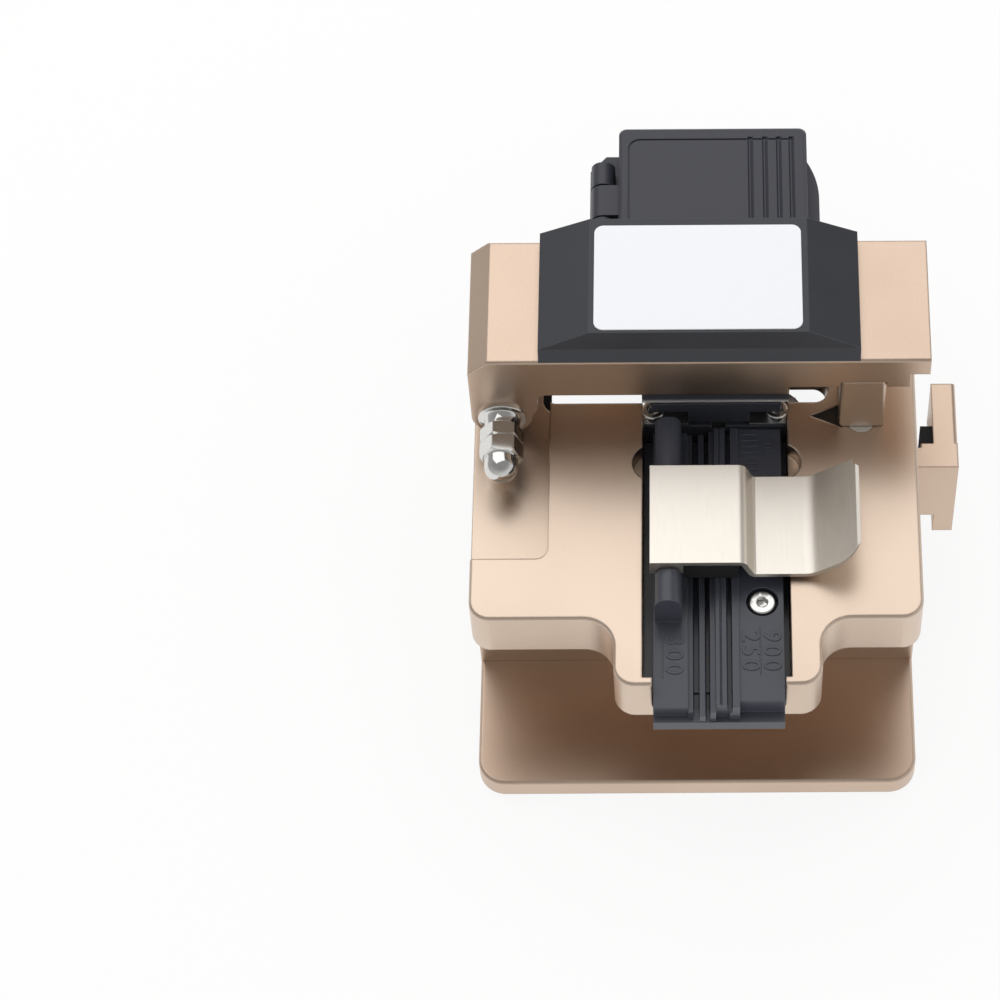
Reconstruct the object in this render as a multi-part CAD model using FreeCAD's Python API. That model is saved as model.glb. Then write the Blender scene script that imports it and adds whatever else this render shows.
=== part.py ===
import FreeCAD, Part

import math
import os

# Fibre cleaver: it scores and snaps a glass fibre that lies along Y.
# Millimetres, +Z up. The origin is the middle of the rubber pad's underside.
# X runs across the body, from the arm's hinge (-X) to the slide handle (+X).
# -Y is the front, where the fibre is laid in, and +Y holds the offcut collector.

V = FreeCAD.Vector

# ---- driving dimensions -------------------------------------------------------------
body_w = 64.0            # width of base and deck, X
body_d = 63.0            # depth of base and deck, Y
pad_t = 0.5              # rubber pad under the base
base_t = 3.5             # base plate
deck_top = 34.5          # height of the deck's top face
deck_t = 9.0             # deck thickness
wall_d = 19.7            # depth of the block that carries the deck
centre_x = 3.0           # middle of tongue, slot and cap, right of the body's middle
fibre_x = 3.4            # the fibre's line
fibre_depth = 1.15       # the fibre lies this far below the deck's top
blade_r = 8.0            # blade wheel radius
blade_travel = 9.0       # slide travel of the blade
arm_t = 8.5              # thickness of the arm's bar
arm_rise = 17.3          # top face of the closed arm above the deck
cap_h = 5.5              # height of the arm's cap
hinge_rise = 3.2         # arm hinge axis above the deck
shaft_r = 2.0            # arm hinge shaft
rail_w = 18.4            # width of the fibre rail
collector_d = 32.4       # depth of the offcut collector

# ---- named clearances ---------------------------------------------------------------
run_fit = 0.04           # radial, shaft in bush
pin_fit = 0.06           # radial, small pin in lug
bolt_fit = 0.02          # radial, screw in its own thread or hole
slide_gap = 0.12         # sliding faces
side_gap = 0.3           # faces that pass each other
rest_gap = 0.1           # faces of a closed lid or arm on their seat

# ---- derived places -----------------------------------------------------------------
half_w = body_w / 2
front_y = -body_d / 2
rear_y = body_d / 2
base_z0 = pad_t
base_z1 = pad_t + base_t
fibre_z = deck_top - fibre_depth
hinge_z = deck_top + hinge_rise
arm_top = deck_top + arm_rise
deck_z0 = deck_top - deck_t
deck_front_y = front_y + body_d / 6
tongue_w = 29.2
wall_y1 = rear_y - 23.0
wall_y0 = wall_y1 - wall_d
left_wall_w = 8.0

slot_x0 = centre_x - 10.6
slot_x1 = centre_x + 10.3
slot_z = deck_top - 6.5
rail_x0 = centre_x - 9.1
rail_x1 = rail_x0 + rail_w
rail_y0 = front_y - 3.6
rail_y1 = rear_y - 20.5
rail_fit = 0.15
slot_wall = 1.2
rail_left_z = slot_z + 4.1
rail_top_z = fibre_z + 0.05

arm_y0 = rear_y - 21.0
arm_y1 = rear_y - 0.3
arm_x0 = -half_w - 0.1
arm_x1 = half_w + 1.25
arm_z0 = arm_top - arm_t
hinge_x = arm_x0 + 4.4
knuckle_r = 4.4
neck_x = hinge_x + knuckle_r + 0.8
lug_r = 4.2
knuckle_w = 5.0
pocket_x1 = -half_w + 11.0
pocket_z = deck_top - 2.5

blade_y = rear_y - 13.0
blade_x = fibre_x + blade_travel / 2
blade_z = fibre_z - blade_r
blade_t = 1.0
window_x0 = pocket_x1 - 1.1
window_x1 = blade_x + blade_r + 3.4
window_y0 = blade_y - 3.8
window_y1 = blade_y + 4.1
window_mill_r = 2.0

clamp_x0 = centre_x - 10.4
clamp_x1 = centre_x + 10.1
clamp_t = 3.4
front_clamp_y = window_y0 - clamp_t - 0.2
rear_clamp_y = window_y1 + 0.1
clamp_ys = {"front": front_clamp_y, "rear": rear_clamp_y}
clamp_block_z = deck_top - 0.6
pad_half_w = 4.0

carrier_x0 = centre_x - 10.6
carrier_x1 = centre_x + 10.4
carrier_z0 = arm_z0 - 2.3
carrier_plate_t = 0.4
guide_z0 = carrier_z0 - carrier_plate_t
arm_well_z = arm_top - 5.0
stem_r = 1.2

foot_x1 = half_w - 4.8
foot_x0 = foot_x1 - 6.5
foot_y1 = arm_y0 + 7.0
foot_z0 = deck_top + rest_gap
foot_z1 = arm_z0 + 2.9
foot_mid_x = (foot_x0 + foot_x1) / 2
foot_magnet_y = arm_y0 + 2.4
deck_disc_y = arm_y0 + 1.0

guide_w = 7.0
guide_h = 5.0
guide_x0 = -half_w + 9.0
guide_x1 = half_w - 4.0
carriage_x0 = blade_x - 15.5
carriage_x1 = blade_x + 7.3
carriage_y0 = blade_y - 8.5
carriage_y1 = blade_y + 8.5
guide_block_z1 = fibre_z - 2 * blade_r - 3.75
carriage_z1 = guide_block_z1 + 2.8

handle_x0 = half_w + 3.0
handle_x1 = handle_x0 + 3.6
handle_y0 = wall_y1 + 0.8
handle_y1 = handle_y0 + 14.5
handle_wall = 4.1
handle_z0 = deck_z0 - 11.3
handle_z1 = deck_z0 - 0.5

bin_x0 = centre_x - 18.7
bin_x1 = centre_x + 16.0
bin_y0 = rear_y
bin_y1 = rear_y + collector_d - 1.9
bin_z0 = deck_z0 - 14.0
bin_z1 = deck_top - 4.5
bin_wall = 1.6
bin_round_r = 14.4
roller_r = 2.5
roller_y = rear_y + 5.0
roller_low_z = fibre_z - roller_r - 0.08
roller_high_z = fibre_z + roller_r + 0.08
tower_z = deck_top + 4.5
tower_y1 = rear_y + 9.5
lid_x0 = centre_x - 14.3
lid_x1 = centre_x + 14.1
lid_y0 = tower_y1 + side_gap
lid_y1 = rear_y + collector_d
lid_top = deck_top + 0.5
lid_hinge_r = 1.8
lid_hinge_x = bin_x0 + lid_hinge_r + 0.2
lid_hinge_z = bin_z1 + 1.9


# ---- shape helpers ------------------------------------------------------------------
def block(x0, x1, y0, y1, z0, z1):
    """A box between two corners."""
    return Part.makeBox(x1 - x0, y1 - y0, z1 - z0, V(x0, y0, z0))


def rod_x(y, z, r, x0, x1):
    """A cylinder along X."""
    return Part.makeCylinder(r, x1 - x0, V(x0, y, z), V(1, 0, 0))


def rod_y(x, z, r, y0, y1):
    """A cylinder along Y."""
    return Part.makeCylinder(r, y1 - y0, V(x, y0, z), V(0, 1, 0))


def rod_z(x, y, r, z0, z1):
    """A cylinder along Z."""
    return Part.makeCylinder(r, z1 - z0, V(x, y, z0), V(0, 0, 1))


def prism_y(outline, y0, y1):
    """An XZ outline, extruded along Y."""
    corners = [V(x, y0, z) for x, z in outline]
    return Part.Face(Part.makePolygon(corners + corners[:1])).extrude(V(0, y1 - y0, 0))


def prism_x(outline, x0, x1):
    """A YZ outline, extruded along X."""
    corners = [V(x0, y, z) for y, z in outline]
    return Part.Face(Part.makePolygon(corners + corners[:1])).extrude(V(x1 - x0, 0, 0))


def upright_edges(shape, places, near=0.05):
    """The vertical edges that stand at the given (x, y) places."""
    found = []
    for edge in shape.Edges:
        ends = [vertex.Point for vertex in edge.Vertexes]
        if len(ends) != 2 or abs(ends[0].z - ends[1].z) < near:
            continue
        for x, y in places:
            if all(math.hypot(p.x - x, p.y - y) < near for p in ends):
                found.append(edge)
    return found


def edges_along_x(shape, y, z, near=0.05):
    """The edges parallel to X that run through the given (y, z)."""
    found = []
    for edge in shape.Edges:
        ends = [vertex.Point for vertex in edge.Vertexes]
        if len(ends) == 2 and all(math.hypot(p.y - y, p.z - z) < near for p in ends):
            found.append(edge)
    return found


def edges_along_y(shape, x, z, near=0.05):
    """The edges parallel to Y that run through the given (x, z)."""
    found = []
    for edge in shape.Edges:
        ends = [vertex.Point for vertex in edge.Vertexes]
        if len(ends) == 2 and all(math.hypot(p.x - x, p.z - z) < near for p in ends):
            found.append(edge)
    return found


def edges_at_height(shape, z, near=0.01):
    """The edges that lie flat at one height."""
    return [edge for edge in shape.Edges
            if abs(edge.BoundBox.ZMin - z) < near and abs(edge.BoundBox.ZMax - z) < near]


def hexagon_tool(across_flats, depth):
    """A hexagonal prism from Z 0 up to its depth."""
    radius = across_flats / math.sqrt(3)
    corners = [V(radius * math.cos(math.radians(60 * i)), radius * math.sin(math.radians(60 * i)), 0)
               for i in range(7)]
    return Part.Face(Part.makePolygon(corners)).extrude(V(0, 0, depth))


def plain_screw(shank_r, length, head_r, head_h):
    """A screw whose head is out of sight: the head stands on Z 0 and the shank goes down."""
    head = rod_z(0, 0, head_r, 0, head_h)
    return head.fuse(rod_z(0, 0, shank_r, -length, 0)).removeSplitter()


def socket_screw(shank_r, length, head_r, head_h, key):
    """A cap screw with a hexagon socket in its head."""
    socket = hexagon_tool(key, head_h * 0.6)
    socket.translate(V(0, 0, head_h * 0.4))
    return plain_screw(shank_r, length, head_r, head_h).cut(socket)


def aimed(shape, at, outward):
    """Turns a shape built along +Z to point outward, and moves it to its place."""
    turned = shape.copy()
    turned.Placement = FreeCAD.Placement(V(*at), FreeCAD.Rotation(V(0, 0, 1), V(*outward)))
    return turned


def group(shapes):
    """Separate solids that share one node."""
    return Part.makeCompound(shapes)


def coil(x, y, z0, z1, mean_r, wire_r, turns):
    """A compression spring of square wire between two heights."""
    pitch = (z1 - z0 - 2 * wire_r) / turns
    path = Part.makeHelix(pitch, pitch * turns, mean_r)
    signs = ((-1, -1), (1, -1), (1, 1), (-1, 1), (-1, -1))
    corners = [V(mean_r + i * wire_r, 0, j * wire_r) for i, j in signs]
    spring = Part.Wire(path).makePipeShell([Part.makePolygon(corners)], True, True)
    spring.translate(V(x, y, z0 + wire_r))
    return spring


# ---- base ---------------------------------------------------------------------------
base_screw_places = [(-half_w + 6.0, wall_y0 + 4.0), (half_w - 6.0, wall_y0 + 4.0),
                     (half_w - 6.0, wall_y1 - 4.0), (-half_w + 4.0, rear_y - 5.0)]
guide_screw_places = [guide_x0 + 4.0, (guide_x0 + guide_x1) / 2, guide_x1 - 4.0]


def countersunk_screw():
    """An M3 countersunk screw, pointing up, with its head's face on Z 0."""
    head = Part.makeCone(2.9, 1.5, 1.4, V(0, 0, 0), V(0, 0, 1))
    screw = head.fuse(rod_z(0, 0, 1.5, 1.4, 9.5)).removeSplitter()
    return screw.cut(hexagon_tool(2.0, 1.1))


def make_base_plate():
    plate = block(-half_w, half_w, front_y, rear_y, base_z0, base_z1)
    front = upright_edges(plate, [(-half_w, front_y), (half_w, front_y)])
    plate = plate.makeFillet(4.0, front)
    rear = upright_edges(plate, [(-half_w, rear_y), (half_w, rear_y)])
    plate = plate.makeFillet(1.5, rear)
    plate = plate.makeChamfer(0.35, edges_at_height(plate, base_z1))
    for x, y in base_screw_places:
        seat = Part.makeCone(2.9 + bolt_fit, 1.5 + bolt_fit, 1.4, V(x, y, base_z0 + 0.1), V(0, 0, 1))
        plate = plate.cut([seat, rod_z(x, y, 2.9 + bolt_fit, base_z0, base_z0 + 0.1),
                           rod_z(x, y, 1.5 + bolt_fit, base_z0, base_z1)])
    for x in guide_screw_places:
        plate = plate.cut(rod_z(x, blade_y, 1.0 + bolt_fit, base_z1 - 2.5, base_z1))
    return plate


def make_base_pad():
    inset = 2.5
    x, y = half_w - inset, rear_y - inset
    pad = block(-x, x, -y, y, 0, pad_t)
    pad = pad.makeFillet(2.5, upright_edges(pad, [(-x, -y), (x, -y), (-x, y), (x, y)]))
    for sx, sy in base_screw_places:
        pad = pad.cut(rod_z(sx, sy, 3.3, 0, pad_t))
    return pad


def make_base_screws():
    screw = countersunk_screw()
    return group([aimed(screw, (x, y, base_z0 + 0.1), (0, 0, 1)) for x, y in base_screw_places])


# ---- deck and its carrying walls -----------------------------------------------------
def deck_outline_solid():
    """The deck plate with its front tongue, corners rounded."""
    tongue_x0, tongue_x1 = centre_x - tongue_w / 2, centre_x + tongue_w / 2
    plate = block(-half_w, half_w, deck_front_y, rear_y, deck_z0, deck_top)
    tongue = block(tongue_x0, tongue_x1, front_y, deck_front_y + 1, deck_z0, deck_top)
    plate = plate.fuse(tongue).removeSplitter()
    inner = upright_edges(plate, [(tongue_x0, deck_front_y), (tongue_x1, deck_front_y)])
    plate = plate.makeFillet(4.3, inner)
    outer = upright_edges(plate, [(-half_w, deck_front_y), (half_w, deck_front_y),
                                  (tongue_x0, front_y), (tongue_x1, front_y)])
    plate = plate.makeFillet(3.0, outer)
    return plate.makeChamfer(0.35, edges_at_height(plate, deck_top))


def deck_cutters():
    """Slot, window, hinge pocket, relief holes and seats cut out of the deck."""
    cutters = [block(slot_x0, slot_x1, front_y + slot_wall, window_y0 + 1, slot_z, deck_top + 1),
               block(rail_x0 - rail_fit, rail_x1 + rail_fit, front_y - 1, front_y + 2 * slot_wall, slot_z,
                     deck_top + 1)]
    window = block(window_x0, window_x1, window_y0, window_y1, deck_z0 - 1, deck_top + 1)
    cutters.append(window.makeFillet(window_mill_r, upright_edges(window, [
        (window_x0, window_y0), (window_x0, window_y1), (window_x1, window_y0), (window_x1, window_y1)])))
    for x in (slot_x0 + 1.6, slot_x1 - 1.2):
        cutters.append(rod_z(x, arm_y0 - 5.9, 3.05, deck_top - 2.8, deck_top + 1))
    pocket = block(-half_w - 1, pocket_x1, wall_y0, rear_y + 1, pocket_z, deck_top + 1)
    cutters.append(pocket.makeFillet(1.8, upright_edges(pocket, [(pocket_x1, wall_y0)])))
    rear_slot = block(slot_x0, slot_x1, window_y1 - 1, rear_clamp_y + clamp_t, slot_z, deck_top + 1)
    cutters.append(rear_slot)
    cutters.append(block(fibre_x - 3.0, fibre_x + 3.0, window_y1, rear_y + 1, deck_top - 2.4, deck_top + 1))
    cutters.append(rod_z(foot_mid_x, deck_disc_y, 2.0 + bolt_fit, deck_top - 2.0, deck_top))
    cutters.append(arrow_pocket())
    cutters.append(rod_z(rail_screw_x, rail_screw_y, 1.0 + bolt_fit, deck_z0, slot_z))
    for y in clamp_ys.values():
        for x in clamp_screw_xs:
            cutters.append(rod_z(x, y + clamp_t / 2, 1.0 + bolt_fit, slot_z - 2.0, slot_z))
    for x in bin_screw_xs:
        cutters.append(rod_y(x, bin_screw_z, 1.0 + bolt_fit, rear_y - 4.0, rear_y))
    return cutters


def arrow_pocket():
    """A shallow engraved arrow beside the foot; it points along the blade's stroke."""
    tip_x, tip_y, length, half_h, depth = foot_x0 - 4.1, arm_y0 + 1.9, 4.6, 2.0, 0.7
    corners = [V(tip_x, tip_y, deck_top - depth), V(tip_x + length, tip_y - half_h, deck_top - depth),
               V(tip_x + length, tip_y + half_h, deck_top - depth)]
    return Part.Face(Part.makePolygon(corners + corners[:1])).extrude(V(0, 0, depth + 1))


def hinge_lug():
    """The lug between the arm's two knuckles, standing in the pocket."""
    y0 = arm_y0 + knuckle_w + side_gap
    y1 = arm_y1 - knuckle_w - side_gap
    foot = block(hinge_x - lug_r, hinge_x + lug_r, y0, y1, pocket_z - 1, hinge_z)
    return foot.fuse(rod_y(hinge_x, hinge_z, lug_r, y0, y1)).removeSplitter()


def make_deck_frame():
    frame = deck_outline_solid().cut(deck_cutters())
    wall = block(-half_w, half_w, wall_y0, wall_y1, base_z1, deck_z0)
    left_wall = block(-half_w, -half_w + left_wall_w, wall_y1 - 1, rear_y, base_z1, deck_z0)
    frame = frame.fuse([wall, left_wall, hinge_lug()]).removeSplitter()
    frame = frame.cut(rod_y(hinge_x, hinge_z, 2.8, arm_y0, arm_y1))
    for x, y in base_screw_places:
        frame = frame.cut(rod_z(x, y, 1.5 + bolt_fit, base_z1, base_z1 + 8.0))
    return frame


def make_hinge_bushes():
    """Two flanged bronze bushes pressed into the lug from its two faces."""
    y0 = arm_y0 + knuckle_w + side_gap
    y1 = arm_y1 - knuckle_w - side_gap
    middle = (y0 + y1) / 2
    bore = rod_y(hinge_x, hinge_z, shaft_r + run_fit, y0 - 1, y1 + 1)
    front = rod_y(hinge_x, hinge_z, 2.8, y0, middle - 0.5).cut(bore)
    rear = rod_y(hinge_x, hinge_z, 2.8, middle + 0.5, y1).cut(bore)
    return group([front, rear])


def make_deck_disc():
    return rod_z(foot_mid_x, deck_disc_y, 2.0, deck_top - 2.0, deck_top)


# ---- fibre rail ----------------------------------------------------------------------
rail_screw_x = centre_x + 6.3
lid_pin_x = rail_x0 + 2.2
lid_pin_z = deck_top + 1.9
lid_pin_r = 0.75
lid_y_front = arm_y0 - 25.3
rail_screw_y = lid_y_front - 2.8
lid_y_back = lid_y_front + 16.0
front_knuckle = (lid_y_front - 5.4, lid_y_front - 0.3)
rear_knuckle = (lid_y_back + 0.3, rail_y1 - 1.0)
rail_magnet_x = centre_x + 7.6
rail_magnet_y = (lid_y_front + lid_y_back) / 2


flat_w = 4.9             # the rail's left flat
right_flat_x = rail_x0 + 12.1
rib_front_y = rail_y0 + 0.1


def rail_outline():
    """The rail's section: two flats, and between them the ribs and the fibre's V groove."""
    x0, f, top, left, deep = rail_x0, fibre_x, rail_top_z, rail_left_z, slot_z + 1.2
    return [(x0, slot_z), (x0, left), (x0 + flat_w, left), (x0 + flat_w, left - 0.6), (x0 + 5.6, left - 0.6),
            (x0 + 5.7, deep), (x0 + 6.4, deep), (x0 + 6.5, left - 0.4), (x0 + 7.3, left - 0.4),
            (x0 + 7.4, deep), (x0 + 7.9, deep), (x0 + 8.0, top - 0.9), (x0 + 8.7, top - 0.9), (x0 + 8.8, top),
            (f - 0.17, top), (f, top - 0.25), (f + 0.17, top), (x0 + 10.3, top), (x0 + 10.4, top - 1.8),
            (x0 + 11.0, top - 1.8), (x0 + 11.1, top), (right_flat_x, top), (right_flat_x, top - 0.3),
            (rail_x1, top - 0.3), (rail_x1, slot_z)]


def rail_front_trims():
    """The flats and most ribs end a little behind the longest rib."""
    strips = [(-1.0, flat_w, 1.1), (flat_w, 6.0, 0.8), (7.3, 8.75, 0.2), (8.75, 10.7, 0.9), (10.7, 12.1, 0.5),
              (12.1, rail_w + 1.0, 1.6)]
    return [block(rail_x0 + x0, rail_x0 + x1, rib_front_y - 1, rib_front_y + back,
                  slot_z + 2.0, rail_top_z + 1) for x0, x1, back in strips]


def make_fibre_rail():
    rail = prism_y(rail_outline(), rib_front_y, rail_y1).cut(rail_front_trims())
    under = block(rail_x0 - 1, rail_x1 + 1, rail_y0 - 1, rail_y0 + 1.2, slot_z + 1.1, slot_z + 2.0)
    rail = rail.cut(under)
    lip = block(rail_x0, rail_x1, rail_y0, rail_y0 + 2.0, slot_z, slot_z + 2.0)
    flange = block(slot_x0 + rail_fit, slot_x1 - rail_fit, front_y + slot_wall + rail_fit, rail_y1,
                   slot_z, slot_z + 1.5)
    pieces = [lip, flange]
    for y0, y1 in (front_knuckle, rear_knuckle):
        knuckle = rod_y(lid_pin_x, lid_pin_z, 1.9, y0, y1)
        knuckle = knuckle.fuse(block(lid_pin_x - 1.9, lid_pin_x + 1.9, y0, y1, rail_left_z - 1, lid_pin_z))
        pieces.append(knuckle.removeSplitter())
    rail = rail.fuse(pieces).removeSplitter()
    pin_y0, pin_y1 = front_knuckle[0] + 0.8, rear_knuckle[1] - 0.8
    rail = rail.cut([rod_y(lid_pin_x, lid_pin_z, lid_pin_r + bolt_fit, pin_y0, pin_y1),
                     rod_z(rail_screw_x, rail_screw_y, 2.3, rail_top_z - 2.4, rail_top_z + 1),
                     rod_z(rail_screw_x, rail_screw_y, 1.0 + bolt_fit, slot_z, rail_top_z),
                     rod_z(rail_magnet_x, rail_magnet_y, 1.5 + bolt_fit, rail_top_z - 2.0, rail_top_z + 1)])
    return rail


def make_lid_hinge_pin():
    return rod_y(lid_pin_x, lid_pin_z, lid_pin_r, front_knuckle[0] + 0.8, rear_knuckle[1] - 0.8)


def make_rail_magnet():
    return rod_z(rail_magnet_x, rail_magnet_y, 1.5, rail_top_z - 2.0, rail_top_z)


# ---- fibre holder lid ----------------------------------------------------------------
lid_sheet = 0.8
lid_high_z = deck_top + 4.8
lid_low_z = deck_top + 1.5
lid_step_x = centre_x + 3.9


def sheet_outline(top, thickness):
    """A bent sheet's section: the given line is its top, and the underside runs parallel to it."""
    normals = []
    for (ax, az), (bx, bz) in zip(top, top[1:]):
        length = math.hypot(bx - ax, bz - az)
        normals.append(((bz - az) / length, -(bx - ax) / length))
    before = normals[:1] + normals
    after = normals + normals[-1:]
    under = []
    for (x, z), (px, pz), (qx, qz) in zip(top, before, after):
        reach = thickness / (1 + px * qx + pz * qz)
        under.append((x + (px + qx) * reach, z + (pz + qz) * reach))
    return top + under[::-1], under


def make_holder_lid():
    """The bent sheet lid: high plate, step, low plate and finger tab, with two hinge ears."""
    end_x = rail_x1 + 10.3
    line = [(rail_x0 - 0.4, lid_high_z), (lid_step_x, lid_high_z), (lid_step_x + 1.3, lid_low_z),
            (rail_x1 + 4.0, lid_low_z), (end_x, lid_low_z + 5.1)]
    outline, under = sheet_outline(line, lid_sheet)
    lid = prism_y(outline, lid_y_front, lid_y_back)
    tight, wide, open_r = 0.5, 0.5 + lid_sheet, 3.0
    bend_radii = (wide, tight, open_r, tight, wide, open_r + lid_sheet)
    for (x, z), radius in zip(line[1:4] + under[1:4], bend_radii):
        lid = lid.makeFillet(radius, edges_along_y(lid, x, z))
    z0, z1 = deck_top - 6, deck_top + 12
    keep = block(rail_x0 - 2, end_x - 3.0, lid_y_front - 1, lid_y_back + 1, z0, z1)
    keep = keep.fuse([block(end_x - 4, end_x + 2, lid_y_front + 3.6, lid_y_back - 1.0, z0, z1),
                      rod_z(end_x - 3.0, lid_y_front + 3.6, 3.6, z0, z1),
                      block(end_x - 4, end_x - 0.4, lid_y_back - 1.2, lid_y_back, z0, z1)])
    lid = lid.common(keep)
    ears = []
    for y0 in (lid_y_front, lid_y_back - lid_sheet):
        ear = block(rail_x0 - 0.4, rail_x0 + 4.3, y0, y0 + lid_sheet, lid_pin_z, lid_high_z - lid_sheet / 2)
        ear = ear.fuse(rod_y(lid_pin_x, lid_pin_z, 1.7, y0, y0 + lid_sheet))
        ears.append(ear)
    lid = lid.fuse(ears).removeSplitter()
    return lid.cut(rod_y(lid_pin_x, lid_pin_z, lid_pin_r + pin_fit, lid_y_front - 1, lid_y_back + 1))


def make_lid_pad():
    """The soft pad that holds the fibre down on its rib."""
    y0, y1 = lid_y_front + 0.9, lid_y_back - 0.9
    return block(rail_x0 + 4.4, lid_step_x - 1.0, y0, y1, rail_top_z + rest_gap, lid_high_z - lid_sheet)


def make_lid_disc():
    """The steel disc that the rail's magnet holds."""
    return rod_z(rail_magnet_x, rail_magnet_y, 1.5, rail_top_z + rest_gap, lid_low_z - lid_sheet)


# ---- lower clamps --------------------------------------------------------------------
clamp_screw_xs = (clamp_x0 + 1.35, clamp_x1 - 1.35)
clamp_plate_t = 0.65


def make_lower_clamps():
    """The two lower clamp blocks, either side of the blade window, each with a seat for its pad."""
    clamps = []
    for y0 in clamp_ys.values():
        seat = block(clamp_x0, clamp_x1, y0, y0 + clamp_t, slot_z, clamp_block_z)
        notch = block(fibre_x - 1.0, fibre_x + 1.0, y0 - 1, y0 + clamp_t + 1,
                      fibre_z - 0.6, clamp_block_z + 1)
        pad_seat = block(fibre_x - pad_half_w, fibre_x + pad_half_w, y0 + 0.6, y0 + clamp_t - 0.6,
                         fibre_z - 2.4, clamp_block_z + 1)
        holes = [rod_z(x, y0 + clamp_t / 2, 1.0 + bolt_fit, slot_z, clamp_block_z) for x in clamp_screw_xs]
        clamps.append(seat.cut([notch, pad_seat] + holes))
    return group(clamps)


def make_lower_pads():
    """The rubber pads that the fibre lies on."""
    return group([block(fibre_x - pad_half_w, fibre_x + pad_half_w, y0 + 0.6, y0 + clamp_t - 0.6,
                        fibre_z - 2.4, fibre_z - 0.05) for y0 in clamp_ys.values()])


def make_clamp_plates():
    """A thin steel plate each side of the fibre, on each lower clamp."""
    plates = []
    for y0 in clamp_ys.values():
        for x0, x1 in ((clamp_x0, fibre_x - pad_half_w - 0.4), (fibre_x + pad_half_w + 0.4, clamp_x1)):
            plate = block(x0, x1, y0, y0 + clamp_t, clamp_block_z, clamp_block_z + clamp_plate_t)
            for x in clamp_screw_xs:
                plate = plate.cut(rod_z(x, y0 + clamp_t / 2, 1.0 + bolt_fit, deck_z0, deck_top + 1))
            plates.append(plate)
    return group(plates)


def make_clamp_screws():
    screw = socket_screw(1.0, 7.5, 1.65, 1.3, 1.3)
    top = clamp_block_z + clamp_plate_t
    return group([aimed(screw, (x, y0 + clamp_t / 2, top), (0, 0, 1))
                  for y0 in clamp_ys.values() for x in clamp_screw_xs])


# ---- arm -----------------------------------------------------------------------------
stem_pitch = 4.1
stem_ys = {"front": blade_y - stem_pitch, "anvil": blade_y, "rear": blade_y + stem_pitch}
jaw_ys = (front_clamp_y + clamp_t / 2, rear_clamp_y + clamp_t / 2)
carrier_screw_xs = (fibre_x - 8.6, fibre_x + 8.6)
spring_plate_screw_xs = (fibre_x - 4.6, fibre_x + 4.6)
spring_z0 = arm_well_z + 0.85
spring_z1 = arm_top - 0.5
foot_screw_y = foot_y1 - 2.2
cap_x0 = centre_x - 25.0
cap_x1 = centre_x + 20.3
cap_screw_xs = (cap_x0 + 3.6, cap_x1 - 3.8)
cap_screw_y = (arm_y0 + arm_y1) / 2
nut_y = arm_y0 - 2.3
lock_nut_h = 2.2


def arm_profile():
    """The arm from the front: bar, chamfered shoulder, and neck down to the knuckle."""
    step_x = centre_x + 10.4
    return [(arm_x0, hinge_z), (arm_x0, arm_top - 2.9), (arm_x0 + 2.9, arm_top), (arm_x1, arm_top),
            (arm_x1, arm_top - 3.5), (arm_x1 - 2.6, arm_top - 3.5), (arm_x1 - 2.6, arm_z0 + 1.8),
            (step_x, arm_z0 + 1.8), (step_x, arm_z0), (neck_x, arm_z0), (neck_x, hinge_z + 1.8),
            (hinge_x + knuckle_r, hinge_z)]


def make_arm():
    bar = prism_y(arm_profile(), arm_y0, arm_y1)
    bar = bar.fuse(rod_y(hinge_x, hinge_z, knuckle_r, arm_y0, arm_y1)).removeSplitter()
    gap_y0, gap_y1 = arm_y0 + knuckle_w, arm_y1 - knuckle_w
    cutters = [block(arm_x0 - 1, neck_x + 2, gap_y0, gap_y1, hinge_z - 6, arm_z0),
               rod_y(hinge_x, hinge_z, shaft_r + bolt_fit, arm_y0 - 1, arm_y1 + 1),
               block(carrier_x0 - 3, carrier_x1 + 3, arm_y0 + 1.6, arm_y1 - 2.5, arm_well_z, arm_top + 1),
               block(foot_x0, foot_x1, arm_y0 - 1, foot_y1, deck_top, foot_z1)]
    for y in stem_ys.values():
        cutters.append(rod_z(fibre_x, y, stem_r + slide_gap, arm_z0 - 1, arm_well_z + 1))
    for x in carrier_screw_xs:
        cutters.append(rod_z(x, blade_y, 1.0 + bolt_fit, arm_z0 - 1, arm_well_z + 1))
    for x in cap_screw_xs:
        cutters.append(rod_z(x, cap_screw_y, 1.0 + bolt_fit, arm_z0 - 1, arm_top + 1))
        cutters.append(rod_z(x, cap_screw_y, 2.2, arm_z0 - 1, arm_z0 + 3.0))
    cutters.append(rod_z(foot_mid_x, foot_screw_y, 1.0 + bolt_fit, foot_z1 - 1, arm_top - 1.5))
    bar = bar.makeFillet(1.6, edges_along_y(bar, neck_x, arm_z0))
    bar = bar.makeChamfer(0.3, edges_along_x(bar, arm_y0, arm_top) + edges_along_x(bar, arm_y1, arm_top))
    bosses = [rod_z(x, blade_y, 1.8, arm_well_z - 1, spring_z1) for x in spring_plate_screw_xs]
    bar = bar.cut(cutters).fuse(bosses).removeSplitter()
    return bar.cut([rod_z(x, blade_y, 1.0 + bolt_fit, arm_z0 + 1.0, spring_z1 + 1)
                    for x in spring_plate_screw_xs])


def make_arm_foot():
    """The stop under the arm's free end, with its magnet seat."""
    foot = block(foot_x0, foot_x1, arm_y0, foot_y1, foot_z0, foot_z1)
    foot = foot.makeFillet(0.6, upright_edges(foot, [(foot_x0, arm_y0), (foot_x1, arm_y0)]))
    seat = rod_z(foot_mid_x, foot_magnet_y, 2.0 + bolt_fit, foot_z0, foot_z0 + 2.0)
    bore = rod_z(foot_mid_x, foot_screw_y, 1.0 + bolt_fit, foot_z0, foot_z1)
    sink = rod_z(foot_mid_x, foot_screw_y, 2.0, foot_z0, foot_z0 + 5.0)
    return foot.cut([seat, bore, sink])


def make_foot_magnet():
    return rod_z(foot_mid_x, foot_magnet_y, 2.0, foot_z0, foot_z0 + 2.0)


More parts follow.
